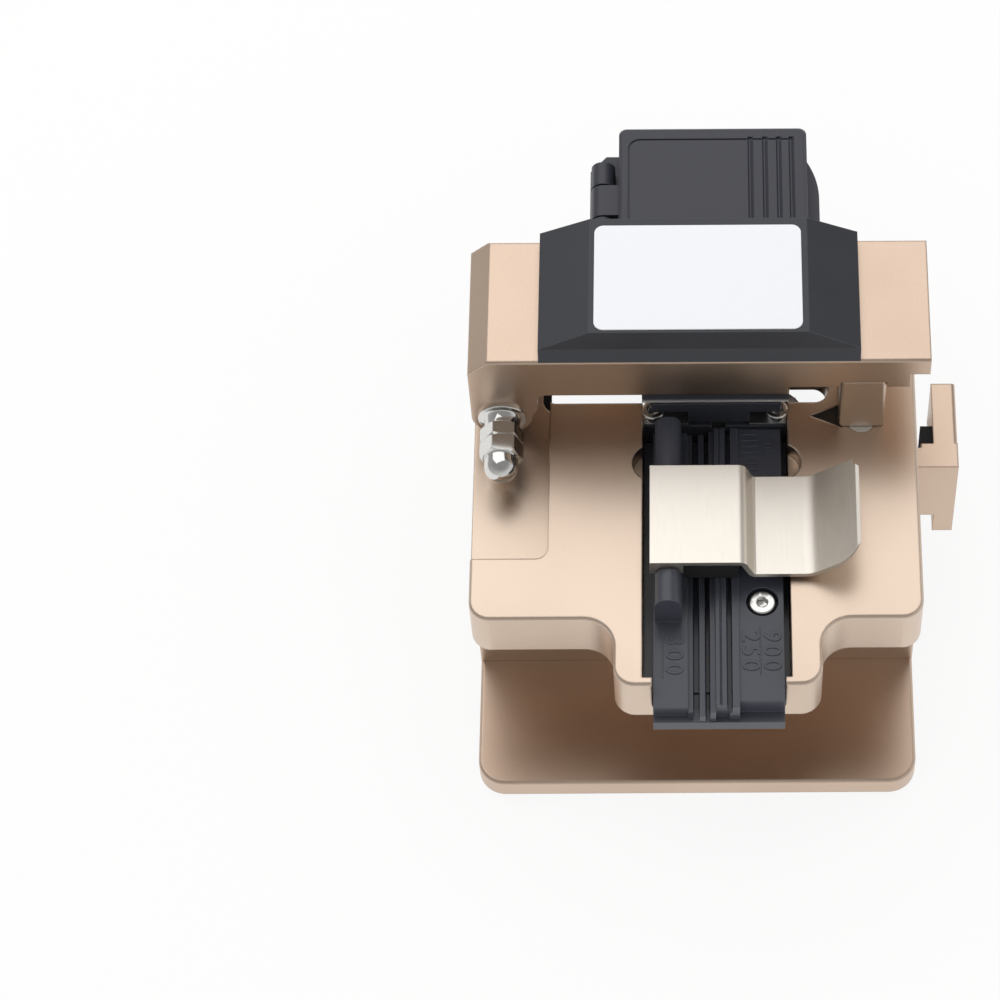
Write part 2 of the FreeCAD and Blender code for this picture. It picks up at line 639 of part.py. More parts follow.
def make_foot_screw():
    screw = socket_screw(1.0, 9.5, 1.9, 2.0, 1.5)
    return aimed(screw, (foot_mid_x, foot_screw_y, foot_z0 + 5.0), (0, 0, -1))


def make_hinge_shaft():
    """A headed shaft with a threaded front end."""
    body = rod_y(hinge_x, hinge_z, shaft_r, arm_y0 + 0.05, arm_y1)
    thread = rod_y(hinge_x, hinge_z, 1.5, nut_y - 4.5, arm_y0 + 0.05)
    head = rod_y(hinge_x, hinge_z, 3.2, arm_y1, arm_y1 + 1.8)
    key = aimed(hexagon_tool(2.5, 1.2), (hinge_x, arm_y1 + 0.6, hinge_z), (0, 1, 0))
    return body.fuse([thread, head]).removeSplitter().cut(key)


def make_hinge_washer():
    """A flanged washer: the flange lies on the knuckle, and the collar carries the nuts."""
    ring = rod_y(hinge_x, hinge_z, 3.5, arm_y0 - 0.5, arm_y0)
    ring = ring.fuse(rod_y(hinge_x, hinge_z, 2.5, nut_y, arm_y0 - 0.5)).removeSplitter()
    return ring.cut(rod_y(hinge_x, hinge_z, 1.5 + bolt_fit, nut_y - 1, arm_y0 + 1))


def hex_nut(across_flats, height, bore_r):
    """A hexagonal nut from Z 0 upwards, its corners turned off."""
    corner_r = across_flats / math.sqrt(3)
    cone = Part.makeCone(corner_r * 1.06, corner_r * 0.9, height, V(0, 0, 0), V(0, 0, 1))
    return hexagon_tool(across_flats, height).common(cone).cut(rod_z(0, 0, bore_r, -1, height + 1))


def make_lock_nut():
    return aimed(hex_nut(5.5, lock_nut_h, 1.5 + bolt_fit), (hinge_x, nut_y, hinge_z), (0, -1, 0))


def make_dome_nut():
    dome_r, rise, tip_r = 2.35, 4.0, 0.25
    side = V(dome_r, 0, rise)
    between = V(dome_r * math.cos(math.radians(42)), 0, rise + dome_r * math.sin(math.radians(42)))
    tip = V(tip_r, 0, rise + math.sqrt(dome_r ** 2 - tip_r ** 2))
    top, foot = V(0, 0, tip.z), V(0, 0, 2.6)
    edges = [Part.LineSegment(foot, V(dome_r, 0, 2.6)).toShape(),
             Part.LineSegment(V(dome_r, 0, 2.6), side).toShape(),
             Part.Arc(side, between, tip).toShape(),
             Part.LineSegment(tip, top).toShape(),
             Part.LineSegment(top, foot).toShape()]
    dome = Part.Face(Part.Wire(edges)).revolve(V(0, 0, 0), V(0, 0, 1), 360)
    nut = hexagon_tool(5.5, 2.8).fuse(dome).removeSplitter().cut(rod_z(0, 0, 1.5 + bolt_fit, -1, 2.4))
    return aimed(nut, (hinge_x, nut_y - lock_nut_h, hinge_z), (0, -1, 0))


# ---- cap on the arm ------------------------------------------------------------------
cap_wall = 1.5
cap_rim = 2.0
cap_top = arm_top + cap_h


def cap_solid(inset, drop):
    """The cap's outer form, moved in by an inset; its top is lowered by a drop."""
    x0, x1 = cap_x0 + inset, cap_x1 - inset
    top, rim = cap_top - drop, arm_top + cap_rim - drop * 0.4
    side = [(x0, arm_top), (x0, rim), (x0 + 7.2, top), (x1 - 7.3, top), (x1, rim), (x1, arm_top)]
    y0, y1 = arm_y0 + inset, arm_y1 - inset
    end = [(y0, arm_top), (y0 + 0.9, arm_top + cap_rim), (y0 + 1.4, top), (y1, top), (y1, arm_top)]
    return prism_y(side, y0, y1).common(prism_x(end, x0, x1))


def make_arm_cap():
    cap = cap_solid(0, 0).cut(cap_solid(cap_wall, cap_wall))
    bosses = [rod_z(x, cap_screw_y, 2.2, arm_top, arm_top + 4) for x in cap_screw_xs]
    bosses = [boss.common(cap_solid(0.2, 0.2)) for boss in bosses]
    cap = cap.fuse(bosses).removeSplitter()
    return cap.cut([rod_z(x, cap_screw_y, 1.0 + bolt_fit, arm_top, arm_top + 1.6) for x in cap_screw_xs])


def make_cap_screws():
    screw = socket_screw(1.0, arm_t - 3.0 + 1.4, 1.9, 2.0, 1.5)
    return group([aimed(screw, (x, cap_screw_y, arm_z0 + 3.0), (0, 0, -1)) for x in cap_screw_xs])


def make_label_plate():
    x0, x1 = centre_x - 17.1, centre_x + 12.1
    y0, y1 = arm_y0 + 1.8, arm_y0 + 19.4
    plate = block(x0, x1, y0, y1, cap_top, cap_top + 0.2)
    return plate.makeFillet(1.3, upright_edges(plate, [(x0, y0), (x1, y0), (x0, y1), (x1, y1)]))


# ---- upper clamps and anvil ----------------------------------------------------------
clamp_lift = 0.8
anvil_lift = 1.0


def carrier_holes(z0, z1):
    """The stems' guide holes and the screw holes through the carrier and its plate."""
    holes = [rod_z(fibre_x, y, stem_r + slide_gap, z0, z1) for y in stem_ys.values()]
    return holes + [rod_z(x, blade_y, 1.0 + bolt_fit, z0, z1) for x in carrier_screw_xs]


def make_clamp_carrier():
    """The black guide block under the arm."""
    carrier = block(carrier_x0, carrier_x1, arm_y0 + 0.6, rear_clamp_y + clamp_t, carrier_z0, arm_z0)
    return carrier.cut(carrier_holes(carrier_z0 - 1, arm_z0 + 1))


def make_carrier_plate():
    """The thin steel wear plate under the carrier."""
    plate = block(carrier_x0, carrier_x1, arm_y0 + 0.4, rear_clamp_y + clamp_t, guide_z0, carrier_z0)
    return plate.cut(carrier_holes(guide_z0 - 1, carrier_z0 + 1))


def make_arm_screws():
    """The M2 screws in the arm's well: two hold the carrier and two the spring plate."""
    long = plain_screw(1.0, arm_well_z - guide_z0, 1.9, 2.0)
    short = plain_screw(1.0, 6.0, 1.8, 1.2)
    screws = [aimed(long, (x, blade_y, arm_well_z), (0, 0, 1)) for x in carrier_screw_xs]
    screws += [aimed(short, (x, blade_y, spring_z1 + 0.8), (0, 0, 1)) for x in spring_plate_screw_xs]
    return group(screws)


def stem(y, z0):
    """A round guide stem with the head that rests on the arm's well floor."""
    head_z = arm_well_z + 0.05
    return rod_z(fibre_x, y, stem_r, z0, head_z).fuse(rod_z(fibre_x, y, 1.9, head_z, head_z + 0.8))


clamp_jaw_z = fibre_z + 1.4
clamp_wide_z = deck_top + 2.9


def make_upper_clamp():
    """The sprung bracket with two jaws, and a window between them for the anvil."""
    top = guide_z0 - clamp_lift - 0.25
    y0, y1 = jaw_ys[0] - 1.5, jaw_ys[1] + 1.5
    bracket = block(centre_x - 9.3, centre_x + 9.3, y0, y1, clamp_wide_z, top)
    jaws = [block(fibre_x - 4.4, fibre_x + 4.4, y - 1.5, y + 1.5, clamp_jaw_z, clamp_wide_z + 0.1)
            for y in jaw_ys]
    cutters = [block(fibre_x - 3.2, fibre_x + 3.2, blade_y - 1.6, blade_y + 1.6, clamp_jaw_z, top + 1)]
    for y in jaw_ys:
        cutters.append(block(fibre_x - 3.6, fibre_x + 3.6, y - 1.1, y + 1.1,
                             clamp_jaw_z - 1, clamp_jaw_z + 0.8))
    stems = [stem(stem_ys[end], top - 0.5) for end in ("front", "rear")]
    return bracket.fuse(jaws).cut(cutters).fuse(stems).removeSplitter()


def make_upper_pads():
    """The two rubber pads of the upper clamp."""
    return group([block(fibre_x - 3.6, fibre_x + 3.6, y - 1.1, y + 1.1,
                        fibre_z - 0.05 + rest_gap, clamp_jaw_z + 0.8) for y in jaw_ys])


def make_anvil():
    """The sprung anvil that bends the scored fibre between the clamps."""
    top = guide_z0 - anvil_lift - 0.25
    foot = block(fibre_x - 2.5, fibre_x + 2.5, blade_y - 1.2, blade_y + 1.2, fibre_z + 1.0, top)
    foot = foot.makeFillet(0.5, edges_along_x(foot, blade_y - 1.2, fibre_z + 1.0)
                           + edges_along_x(foot, blade_y + 1.2, fibre_z + 1.0))
    return foot.fuse(stem(blade_y, top - 0.5)).removeSplitter()


def make_springs(ends):
    """Compression springs between the stems' heads and the spring plate."""
    return group([coil(fibre_x, stem_ys[end], spring_z0, spring_z1, 1.35, 0.2, 2.5) for end in ends])


def make_spring_plate():
    """The retainer over the three springs, held by two screws."""
    plate = block(fibre_x - 7.0, fibre_x + 7.0, stem_ys["front"] - 1.6, stem_ys["rear"] + 1.6,
                  spring_z1, spring_z1 + 0.8)
    return plate.cut([rod_z(x, blade_y, 1.0 + bolt_fit, spring_z1 - 1, spring_z1 + 2)
                      for x in spring_plate_screw_xs])


# ---- slide and blade -----------------------------------------------------------------
def make_guide_rail():
    y0, y1 = blade_y - guide_w / 2, blade_y + guide_w / 2
    rail = block(guide_x0, guide_x1, y0, y1, base_z1, base_z1 + guide_h)
    for side in (y0, y1):
        rail = rail.cut(rod_x(side, base_z1 + 3.0, 0.6, guide_x0 - 1, guide_x1 + 1))
    for x in guide_screw_places:
        rail = rail.cut([rod_z(x, blade_y, 1.0 + bolt_fit, base_z1, base_z1 + guide_h),
                         rod_z(x, blade_y, 1.95, base_z1 + guide_h - 2.2, base_z1 + guide_h + 1)])
    return rail


def make_guide_bumpers():
    """Rubber stops at the two ends of the carriage's travel, clipped over the rail."""
    bumpers = []
    stops = [(carriage_x0 - blade_travel - 3.2, carriage_x0 - blade_travel - 0.2),
             (carriage_x1 + 0.2, carriage_x1 + 3.2)]
    y0, y1 = blade_y - guide_w / 2, blade_y + guide_w / 2
    for x0, x1 in stops:
        stop = block(x0, x1, y0 - 2.0, y1 + 2.0, base_z1, guide_block_z1 - 1.0)
        bumpers.append(stop.cut(block(x0 - 1, x1 + 1, y0, y1, base_z1 - 1, base_z1 + guide_h)))
    return group(bumpers)


def make_guide_block():
    g = slide_gap
    y0, y1 = blade_y - guide_w / 2 - g, blade_y + guide_w / 2 + g
    runner = block(carriage_x0, carriage_x1, carriage_y0, carriage_y1, base_z1 + 1.5, guide_block_z1)
    tunnel = block(carriage_x0 - 1, carriage_x1 + 1, y0, y1, base_z1, base_z1 + guide_h + g)
    holes = [rod_z(x, y, 1.0 + bolt_fit, guide_block_z1 - 4.0, guide_block_z1)
             for x, y in carriage_screw_places]
    return runner.cut([tunnel] + holes)


carriage_screw_places = [(x, y) for x in (carriage_x0 + 3.0, carriage_x1 - 3.0)
                         for y in (carriage_y0 + 2.6, carriage_y1 - 2.6)]
bracket_y0 = blade_y - blade_t / 2 - 2.9
bracket_y1 = bracket_y0 + 1.7
bracket_x0 = blade_x - 4.4
bracket_x1 = blade_x + 4.4
pivot_x = bracket_x0 + 1.9
pivot_z = carriage_z1 + 2.2
height_x = bracket_x1 + 1.5
bracket_mid_y = (bracket_y0 + bracket_y1) / 2


def make_carriage():
    """The aluminium plate on the runner, with a cheek that carries the blade bracket."""
    plate = block(carriage_x0, carriage_x1, carriage_y0, carriage_y1, guide_block_z1, carriage_z1)
    well = block(blade_x - blade_r - 0.4, blade_x + 6.9, blade_y - 1.5, blade_y + 1.5,
                 carriage_z1 - 1.6, carriage_z1 + 1)
    cheek = block(carriage_x0, carriage_x1, bracket_y0 - 2.4, bracket_y0, carriage_z1 - 1, deck_z0 - 1.2)
    height_hole = rod_z(height_x, bracket_mid_y, 0.5 + bolt_fit, guide_block_z1, carriage_z1 + 1)
    cutters = [well, height_hole]
    for x, y in carriage_screw_places:
        cutters.append(rod_z(x, y, 1.0 + bolt_fit, guide_block_z1, deck_top))
        cutters.append(rod_z(x, y, 2.1, carriage_z1 - 1.2, deck_top))
    cutters.append(rod_y(pivot_x, pivot_z, 0.75 + bolt_fit, bracket_y0 - 3, bracket_y0 + 1))
    for z in handle_screw_zs:
        cutters.append(rod_y(handle_screw_x, z, 1.0 + bolt_fit, bracket_y0 - 3, bracket_y0 + 1))
    return plate.fuse(cheek).removeSplitter().cut(cutters)


handle_screw_x = carriage_x1 - 3.2
handle_screw_zs = (carriage_z1 + 1.6, deck_z0 - 3.0)


def make_carriage_screws():
    """Four screws down into the runner, and two through the handle's front wall."""
    down = plain_screw(1.0, 4.6, 1.9, 1.1)
    back = plain_screw(1.0, 4.0, 1.3, 0.6)
    screws = [aimed(down, (x, y, carriage_z1 - 1.2), (0, 0, 1)) for x, y in carriage_screw_places]
    screws += [aimed(back, (handle_screw_x, handle_y0, z), (0, -1, 0)) for z in handle_screw_zs]
    return group(screws)


def make_blade_bracket():
    """The small rocker that holds the wheel; its pivot and height screw set the wheel's height."""
    body = block(bracket_x0, bracket_x1, bracket_y0, bracket_y1, carriage_z1 + 0.3, blade_z + 2.6)
    tongue = block(bracket_x1 - 0.5, bracket_x1 + 2.6, bracket_y0, bracket_y1,
                   carriage_z1 + 1.2, carriage_z1 + 3.4)
    body = body.makeFillet(2.0, edges_along_y(body, bracket_x0, blade_z + 2.6)
                           + edges_along_y(body, bracket_x1, blade_z + 2.6))
    body = body.fuse(tongue).removeSplitter()
    return body.cut([rod_y(pivot_x, pivot_z, 0.75 + bolt_fit, bracket_y0 - 1, bracket_y1 + 1),
                     rod_y(blade_x, blade_z, 1.25 + bolt_fit, bracket_y0 - 1, bracket_y1 + 1),
                     rod_z(height_x, bracket_mid_y, 0.5 + bolt_fit, carriage_z1, deck_z0)])


def make_bracket_pivot_pin():
    return rod_y(pivot_x, pivot_z, 0.75, bracket_y0 - 2.4, bracket_y1)


def make_height_screw():
    screw = socket_screw(0.5, 3.0, 0.8, 0.8, 0.7)
    return aimed(screw, (height_x, bracket_mid_y, carriage_z1 + 3.4), (0, 0, 1))


def make_blade_shaft():
    """The wheel's axle: a shouldered pin through the bracket, with a collar behind it."""
    pin = rod_y(blade_x, blade_z, 1.25, bracket_y0, blade_y + 1.1)
    return pin.cut(rod_y(blade_x, blade_z, 0.6 + bolt_fit, blade_y - 1.4, blade_y + 2))


def make_blade_washer():
    """The spring washer that keeps the wheel from turning by itself."""
    ring = rod_y(blade_x, blade_z, 2.4, blade_y + 1.1, blade_y + 1.5)
    return ring.cut(rod_y(blade_x, blade_z, 0.6 + bolt_fit, blade_y, blade_y + 2))


def make_blade_screw():
    screw = socket_screw(0.6, 2.4, 1.7, 1.2, 1.0)
    return aimed(screw, (blade_x, blade_y + 1.5, blade_z), (0, 1, 0))


def make_blade_wheel():
    """The round carbide blade with its sharpened rim."""
    y0, y1 = blade_y - blade_t / 2, blade_y + blade_t / 2
    outline = [V(2.6, y0, 0), V(blade_r - 0.9, y0, 0), V(blade_r, blade_y, 0),
               V(blade_r - 0.9, y1, 0), V(2.6, y1, 0)]
    face = Part.Face(Part.makePolygon(outline + outline[:1]))
    wheel = face.revolve(V(0, 0, 0), V(0, 1, 0), 360)
    wheel.translate(V(blade_x, 0, blade_z))
    return wheel


def make_blade_hub():
    """The indexing hub pressed in the wheel: sixteen shallow notches for its positions."""
    hub = rod_y(blade_x, blade_z, 2.6 - bolt_fit, blade_y - 0.5, blade_y + 1.0)
    flange = rod_y(blade_x, blade_z, 3.6, bracket_y1 + side_gap / 3, blade_y - 0.5)
    hub = hub.fuse(flange).removeSplitter()
    notches = []
    notch = block(-0.3, 0.3, bracket_y1, bracket_y1 + 0.5, 3.25, 4.0)
    for i in range(16):
        cutter = notch.copy()
        cutter.rotate(V(0, 0, 0), V(0, 1, 0), 22.5 * i)
        cutter.translate(V(blade_x, 0, blade_z))
        notches.append(cutter)
    return hub.cut(notches).cut(rod_y(blade_x, blade_z, 1.25 + run_fit, blade_y - 2, blade_y + 2))


def make_slide_handle():
    """The L-shaped push handle: side wall outside the body, front wall in to the carriage."""
    wall_z0, wall_z1 = handle_z0, handle_z1
    side = block(handle_x0, handle_x1, handle_y0, handle_y1, wall_z0, wall_z1)
    leg = block(handle_x0 + 0.6, handle_x1, handle_y0, handle_y0 + handle_wall, wall_z0 - 7.5, wall_z0 + 1)
    front = block(carriage_x1 - 6.0, handle_x1, handle_y0, bracket_y0 - 2.4, carriage_z1, wall_z1)
    apron = block(half_w + 1.2, handle_x1, handle_y0, handle_y0 + handle_wall, wall_z0 - 2.9, wall_z1)
    outer_edge = edges_along_y(side, handle_x1, wall_z1)
    side = side.makeFillet(0.6, outer_edge)
    handle = side.fuse([leg, front, apron]).removeSplitter()
    return handle.cut([rod_y(handle_screw_x, z, 1.0 + bolt_fit, handle_y0 - 1, handle_y0 + 6)
                       for z in handle_screw_zs])


def make_handle_bumper():
    y0 = handle_y0 + handle_wall
    return block(handle_x0 - 1.8, handle_x0, y0, y0 + 3.3, handle_z1 - 7.0, handle_z1 - 0.5)


# ---- offcut collector ----------------------------------------------------------------
bin_screw_xs = (bin_x0 + 4.0, bin_x1 - 4.0)
bin_screw_z = deck_z0 + 2.2
bin_hollow_x0 = lid_x0 + 1.6
bin_hollow_x1 = lid_x1 - 1.6
bin_rib_ys = (lid_y0 + 3.0, bin_y1 - 7.6)
bin_rib_w = 4.0


def bin_outline():
    """The bin from above: chamfered on the hinge's side, and a wide arc on the other."""
    arc_x, arc_y = bin_x1 - bin_round_r, bin_y1 - 8.0
    end_x = arc_x + math.sqrt(bin_round_r ** 2 - (bin_y1 - arc_y) ** 2)
    half = math.asin((bin_y1 - arc_y) / bin_round_r) / 2
    start, end = V(bin_x1, arc_y, bin_z0), V(end_x, bin_y1, bin_z0)
    middle = V(arc_x + bin_round_r * math.cos(half), arc_y + bin_round_r * math.sin(half), bin_z0)
    straight = [end, V(bin_x0 + 2.4, bin_y1, bin_z0), V(bin_x0, bin_y1 - 2.8, bin_z0),
                V(bin_x0, bin_y0, bin_z0), V(bin_x1, bin_y0, bin_z0), start]
    edges = [Part.Arc(start, middle, end).toShape()]
    edges += [Part.LineSegment(p, q).toShape() for p, q in zip(straight, straight[1:])]
    return Part.Face(Part.Wire(edges))


def make_collector_bin():
    """The hollow bin with the roller tower at its mouth and a hinge rib on the left."""
    shell = bin_outline().extrude(V(0, 0, bin_z1 - bin_z0))
    hollow = block(bin_hollow_x0, bin_hollow_x1, tower_y1, bin_y1 - bin_wall, bin_z0 + bin_wall, bin_z1 + 1)
    hollow = hollow.makeFillet(2.4, upright_edges(hollow, [(bin_hollow_x0, bin_y1 - bin_wall),
                                                           (bin_hollow_x1, bin_y1 - bin_wall)]))
    tower = [block(x0, x1, bin_y0, tower_y1, bin_z1 - 1, tower_z)
             for x0, x1 in ((fibre_x - 7.5, fibre_x - 5.0), (fibre_x + 5.0, fibre_x + 7.5))]
    ribs = []
    for y0 in bin_rib_ys:
        foot = block(lid_hinge_x - lid_hinge_r, lid_hinge_x + lid_hinge_r, y0, y0 + bin_rib_w,
                     bin_z1 - 1, lid_hinge_z)
        barrel = rod_y(lid_hinge_x, lid_hinge_z, lid_hinge_r, y0, y0 + bin_rib_w)
        ribs.append(foot.fuse(barrel).removeSplitter())
    shell = shell.cut(hollow).fuse(tower + ribs).removeSplitter()
    cutters = [block(fibre_x - 5.0, fibre_x + 5.0, bin_y0 + 1.6, tower_y1 + 1, bin_z0 + 6.0, bin_z1 + 1),
               block(fibre_x - 3.0, fibre_x + 3.0, bin_y0 - 1, bin_y0 + 2, deck_top - 6.0, bin_z1 + 1),
               rod_x(roller_y, roller_low_z, 1.0 + pin_fit, fibre_x - 9, bin_x1 + 1),
               rod_x(roller_y, roller_high_z, 1.0 + pin_fit, fibre_x - 9, fibre_x + 9),
               rod_y(lid_hinge_x, lid_hinge_z, 0.75 + bolt_fit, bin_y0, bin_y1)]
    for x in bin_screw_xs:
        cutters.append(rod_y(x, bin_screw_z, 1.0 + bolt_fit, bin_y0 - 1, tower_y1))
        cutters.append(rod_y(x, bin_screw_z, 2.2, bin_y0 + 2.0, tower_y1 + 1))
    return shell.cut(cutters)


def make_frame_screws():
    """The M2 screws of the rail, the slide's guide rail and the collector bin."""
    rail_seat = (rail_screw_x, rail_screw_y, rail_top_z - 2.4)
    screws = [aimed(socket_screw(1.0, 4.5, 1.9, 2.0, 1.5), rail_seat, (0, 0, 1))]
    for x in guide_screw_places:
        seat = base_z1 + guide_h - 2.2
        screws.append(aimed(plain_screw(1.0, 5.0, 1.85, 2.0), (x, blade_y, seat), (0, 0, 1)))
    for x in bin_screw_xs:
        screws.append(aimed(plain_screw(1.0, 5.5, 1.9, 2.0), (x, bin_y0 + 2.0, bin_screw_z), (0, 1, 0)))
    return group(screws)


def lid_panel_line():
    """A fine line let into the lid's top: down the hinge's side and along the back."""
    x0, x1, y0, y1 = lid_x0 + 1.4, lid_x1 - 1.2, lid_y0 - 1, lid_y1 - 2.2
    outer = block(x0, x1, y0, y1, lid_top - 0.25, lid_top + 1)
    outer = outer.makeFillet(1.8, upright_edges(outer, [(x0, y1), (x1, y1)]))
    width = 0.3
    inner = block(x0 + width, x1 + 5, y0 - 1, y1 - width, lid_top - 0.5, lid_top + 2)
    inner = inner.makeFillet(1.8 - width, upright_edges(inner, [(x0 + width, y1 - width)]))
    return outer.cut(inner)


def make_collector_lid():
    """The bin's lid: a panel line, four grip grooves, and a knuckle between the bin's ribs."""
    z0 = bin_z1 + rest_gap
    lid = block(lid_x0, lid_x1, lid_y0, lid_y1, z0, lid_top)
    lid = lid.makeFillet(1.2, upright_edges(lid, [(lid_x0, lid_y1), (lid_x1, lid_y1)]))
    lid = lid.makeChamfer(0.5, edges_at_height(lid, lid_top))
    hollow = block(lid_x0 + 1.5, lid_x1 - 1.5, lid_y0 + 1.5, bin_y1 - bin_wall, z0 - 1, lid_top - 1.6)
    lid = lid.cut(hollow)
    grooves = [prism_y([(x, lid_top + 0.1), (x + 0.25, lid_top - 0.35), (x + 0.45, lid_top - 0.35),
                        (x + 1.1, lid_top + 0.1)], lid_y0 + 1, lid_y1 - 1.9) for x in lid_groove_xs]
    lid = lid.cut(grooves + [lid_panel_line()])
    y0, y1 = bin_rib_ys[0] + bin_rib_w + side_gap, bin_rib_ys[1] - side_gap
    knuckle = rod_y(lid_hinge_x, lid_hinge_z, lid_hinge_r, y0, y1)
    link = block(lid_hinge_x, lid_x0 + 1.5, y0, y1, lid_hinge_z - 0.9, lid_hinge_z + lid_hinge_r)
    lid = lid.fuse([knuckle, link]).removeSplitter()
    return lid.cut(rod_y(lid_hinge_x, lid_hinge_z, 0.75 + pin_fit, y0 - 1, y1 + 1))


lid_groove_xs = (centre_x + 5.1, centre_x + 7.3, centre_x + 9.4, centre_x + 11.3)


def make_collector_lid_pin():
    return rod_y(lid_hinge_x, lid_hinge_z, 0.75, bin_rib_ys[0], bin_rib_ys[1] + bin_rib_w)


def make_drive_roller():
    return rod_x(roller_y, roller_low_z, roller_r, fibre_x - 4.7, fibre_x + 4.7).cut(
        rod_x(roller_y, roller_low_z, 1.0 + bolt_fit, fibre_x - 6, fibre_x + 6))


def make_drive_shaft():
    return rod_x(roller_y, roller_low_z, 1.0, fibre_x - 7.5, bin_x1 + 5.0)


def make_roller_knob():
    knob = rod_x(roller_y, roller_low_z, 4.5, bin_x1 + 0.4, bin_x1 + 5.0)
    knob = knob.makeChamfer(0.5, [e for e in knob.Edges if abs(e.BoundBox.XMin - bin_x1 - 5.0) < 0.01])
    flutes = []
    for i in range(12):
        angle = math.radians(30 * i)
        flutes.append(rod_x(roller_y + 4.9 * math.cos(angle), roller_low_z + 4.9 * math.sin(angle), 0.9,
                            bin_x1, bin_x1 + 6))
    return knob.cut(flutes).cut(rod_x(roller_y, roller_low_z, 1.0 + bolt_fit, bin_x1, bin_x1 + 6))


def make_pinch_roller():
    return rod_x(roller_y, roller_high_z, roller_r, fibre_x - 4.7, fibre_x + 4.7).cut(
        rod_x(roller_y, roller_high_z, 1.0 + bolt_fit, fibre_x - 6, fibre_x + 6))


def make_pinch_shaft():
    return rod_x(roller_y, roller_high_z, 1.0, fibre_x - 7.5, fibre_x + 7.5)


# ---- every node ----------------------------------------------------------------------
nodes = {
    "base_plate": make_base_plate(),
    "base_pad": make_base_pad(),
    "base_screws": make_base_screws(),
    "deck_frame": make_deck_frame(),
    "hinge_bushes": make_hinge_bushes(),
    "deck_disc": make_deck_disc(),
    "fibre_rail": make_fibre_rail(),
    "rail_magnet": make_rail_magnet(),
    "lid_hinge_pin": make_lid_hinge_pin(),
    "frame_screws": make_frame_screws(),
    "lower_clamps": make_lower_clamps(),
    "lower_pads": make_lower_pads(),
    "clamp_plates": make_clamp_plates(),
    "clamp_screws": make_clamp_screws(),
    "holder_lid": make_holder_lid(),
    "lid_pad": make_lid_pad(),
    "lid_disc": make_lid_disc(),
    "arm": make_arm(),
    "arm_foot": make_arm_foot(),
    "foot_magnet": make_foot_magnet(),
    "foot_screw": make_foot_screw(),
    "hinge_shaft": make_hinge_shaft(),
    "hinge_washer": make_hinge_washer(),
    "lock_nut": make_lock_nut(),
    "dome_nut": make_dome_nut(),
    "arm_cap": make_arm_cap(),
    "cap_screws": make_cap_screws(),
    "label_plate": make_label_plate(),
    "clamp_carrier": make_clamp_carrier(),
    "carrier_plate": make_carrier_plate(),
    "arm_screws": make_arm_screws(),
    "spring_plate": make_spring_plate(),
    "upper_clamp": make_upper_clamp(),
    "upper_pads": make_upper_pads(),
    "clamp_springs": make_springs(["front", "rear"]),
    "anvil": make_anvil(),
    "anvil_spring": make_springs(["anvil"]),
    "guide_rail": make_guide_rail(),
    "guide_bumpers": make_guide_bumpers(),
    "guide_block": make_guide_block(),
    "carriage": make_carriage(),
    "carriage_screws": make_carriage_screws(),
    "blade_bracket": make_blade_bracket(),
    "bracket_pivot_pin": make_bracket_pivot_pin(),
    "height_screw": make_height_screw(),
    "blade_shaft": make_blade_shaft(),
    "blade_washer": make_blade_washer(),
    "blade_screw": make_blade_screw(),
    "blade_wheel": make_blade_wheel(),
    "blade_hub": make_blade_hub(),
    "slide_handle": make_slide_handle(),
    "handle_bumper": make_handle_bumper(),
    "collector_bin": make_collector_bin(),
    "collector_lid": make_collector_lid(),
    "collector_lid_pin": make_collector_lid_pin(),
    "drive_roller": make_drive_roller(),
    "drive_shaft": make_drive_shaft(),
    "roller_knob": make_roller_knob(),
    "pinch_roller": make_pinch_roller(),
    "pinch_shaft": make_pinch_shaft(),
}

os.makedirs("parts", exist_ok=True)
for name, shape in nodes.items():
    shape.exportStep("parts/" + name + ".step")
    print(name, "valid" if shape.isValid() else "INVALID", len(shape.Solids), round(shape.Volume, 2))
print(len(nodes), "nodes")
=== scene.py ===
# %% [markdown]
# # A fibre cleaver, from CAD solids to a finished look
# A fibre cleaver scores a glass fibre with a small wheel, so that it snaps square. The fibre lies
# along a rail, under a sheet lid. An arm brings a sprung clamp down on it, and the wheel passes
# below on a slide. The exact solids come from the CAD model, which is loaded here as a fixed frame.
# This lesson gives every solid a real finish. It also adds the fine detail that is too small to be
# worth a solid: numerals, flutes, screw sockets, chamfered nuts and springs of round wire.

import math

import bmesh
import bpy
from mathutils import Matrix, Vector


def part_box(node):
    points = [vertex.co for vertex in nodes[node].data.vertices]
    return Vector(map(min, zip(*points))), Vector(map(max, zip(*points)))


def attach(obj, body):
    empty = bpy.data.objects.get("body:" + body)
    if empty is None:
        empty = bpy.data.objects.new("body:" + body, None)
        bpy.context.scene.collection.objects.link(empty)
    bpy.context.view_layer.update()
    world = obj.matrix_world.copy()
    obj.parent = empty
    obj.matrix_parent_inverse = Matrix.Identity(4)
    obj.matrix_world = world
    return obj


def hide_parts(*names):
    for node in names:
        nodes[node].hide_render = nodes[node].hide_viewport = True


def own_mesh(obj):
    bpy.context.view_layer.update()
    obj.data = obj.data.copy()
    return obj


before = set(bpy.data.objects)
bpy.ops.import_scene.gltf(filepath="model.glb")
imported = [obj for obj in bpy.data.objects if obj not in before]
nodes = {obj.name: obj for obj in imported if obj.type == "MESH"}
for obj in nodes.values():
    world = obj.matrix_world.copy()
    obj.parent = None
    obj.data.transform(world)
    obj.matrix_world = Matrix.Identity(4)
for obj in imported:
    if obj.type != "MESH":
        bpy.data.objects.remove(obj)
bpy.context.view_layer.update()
mm = 0.001

# %% [markdown]
# ## One function for nodes, one for colour
# Every material below is a small graph of nodes. Writing out each node by hand takes many lines,
# so one function adds any node with its settings, its input values and its links. Colours are
# written as sRGB hex, as a paint chart gives them. Blender mixes light in linear values, so one
# function turns hex into linear. The sRGB curve is straight near black and a power above that.

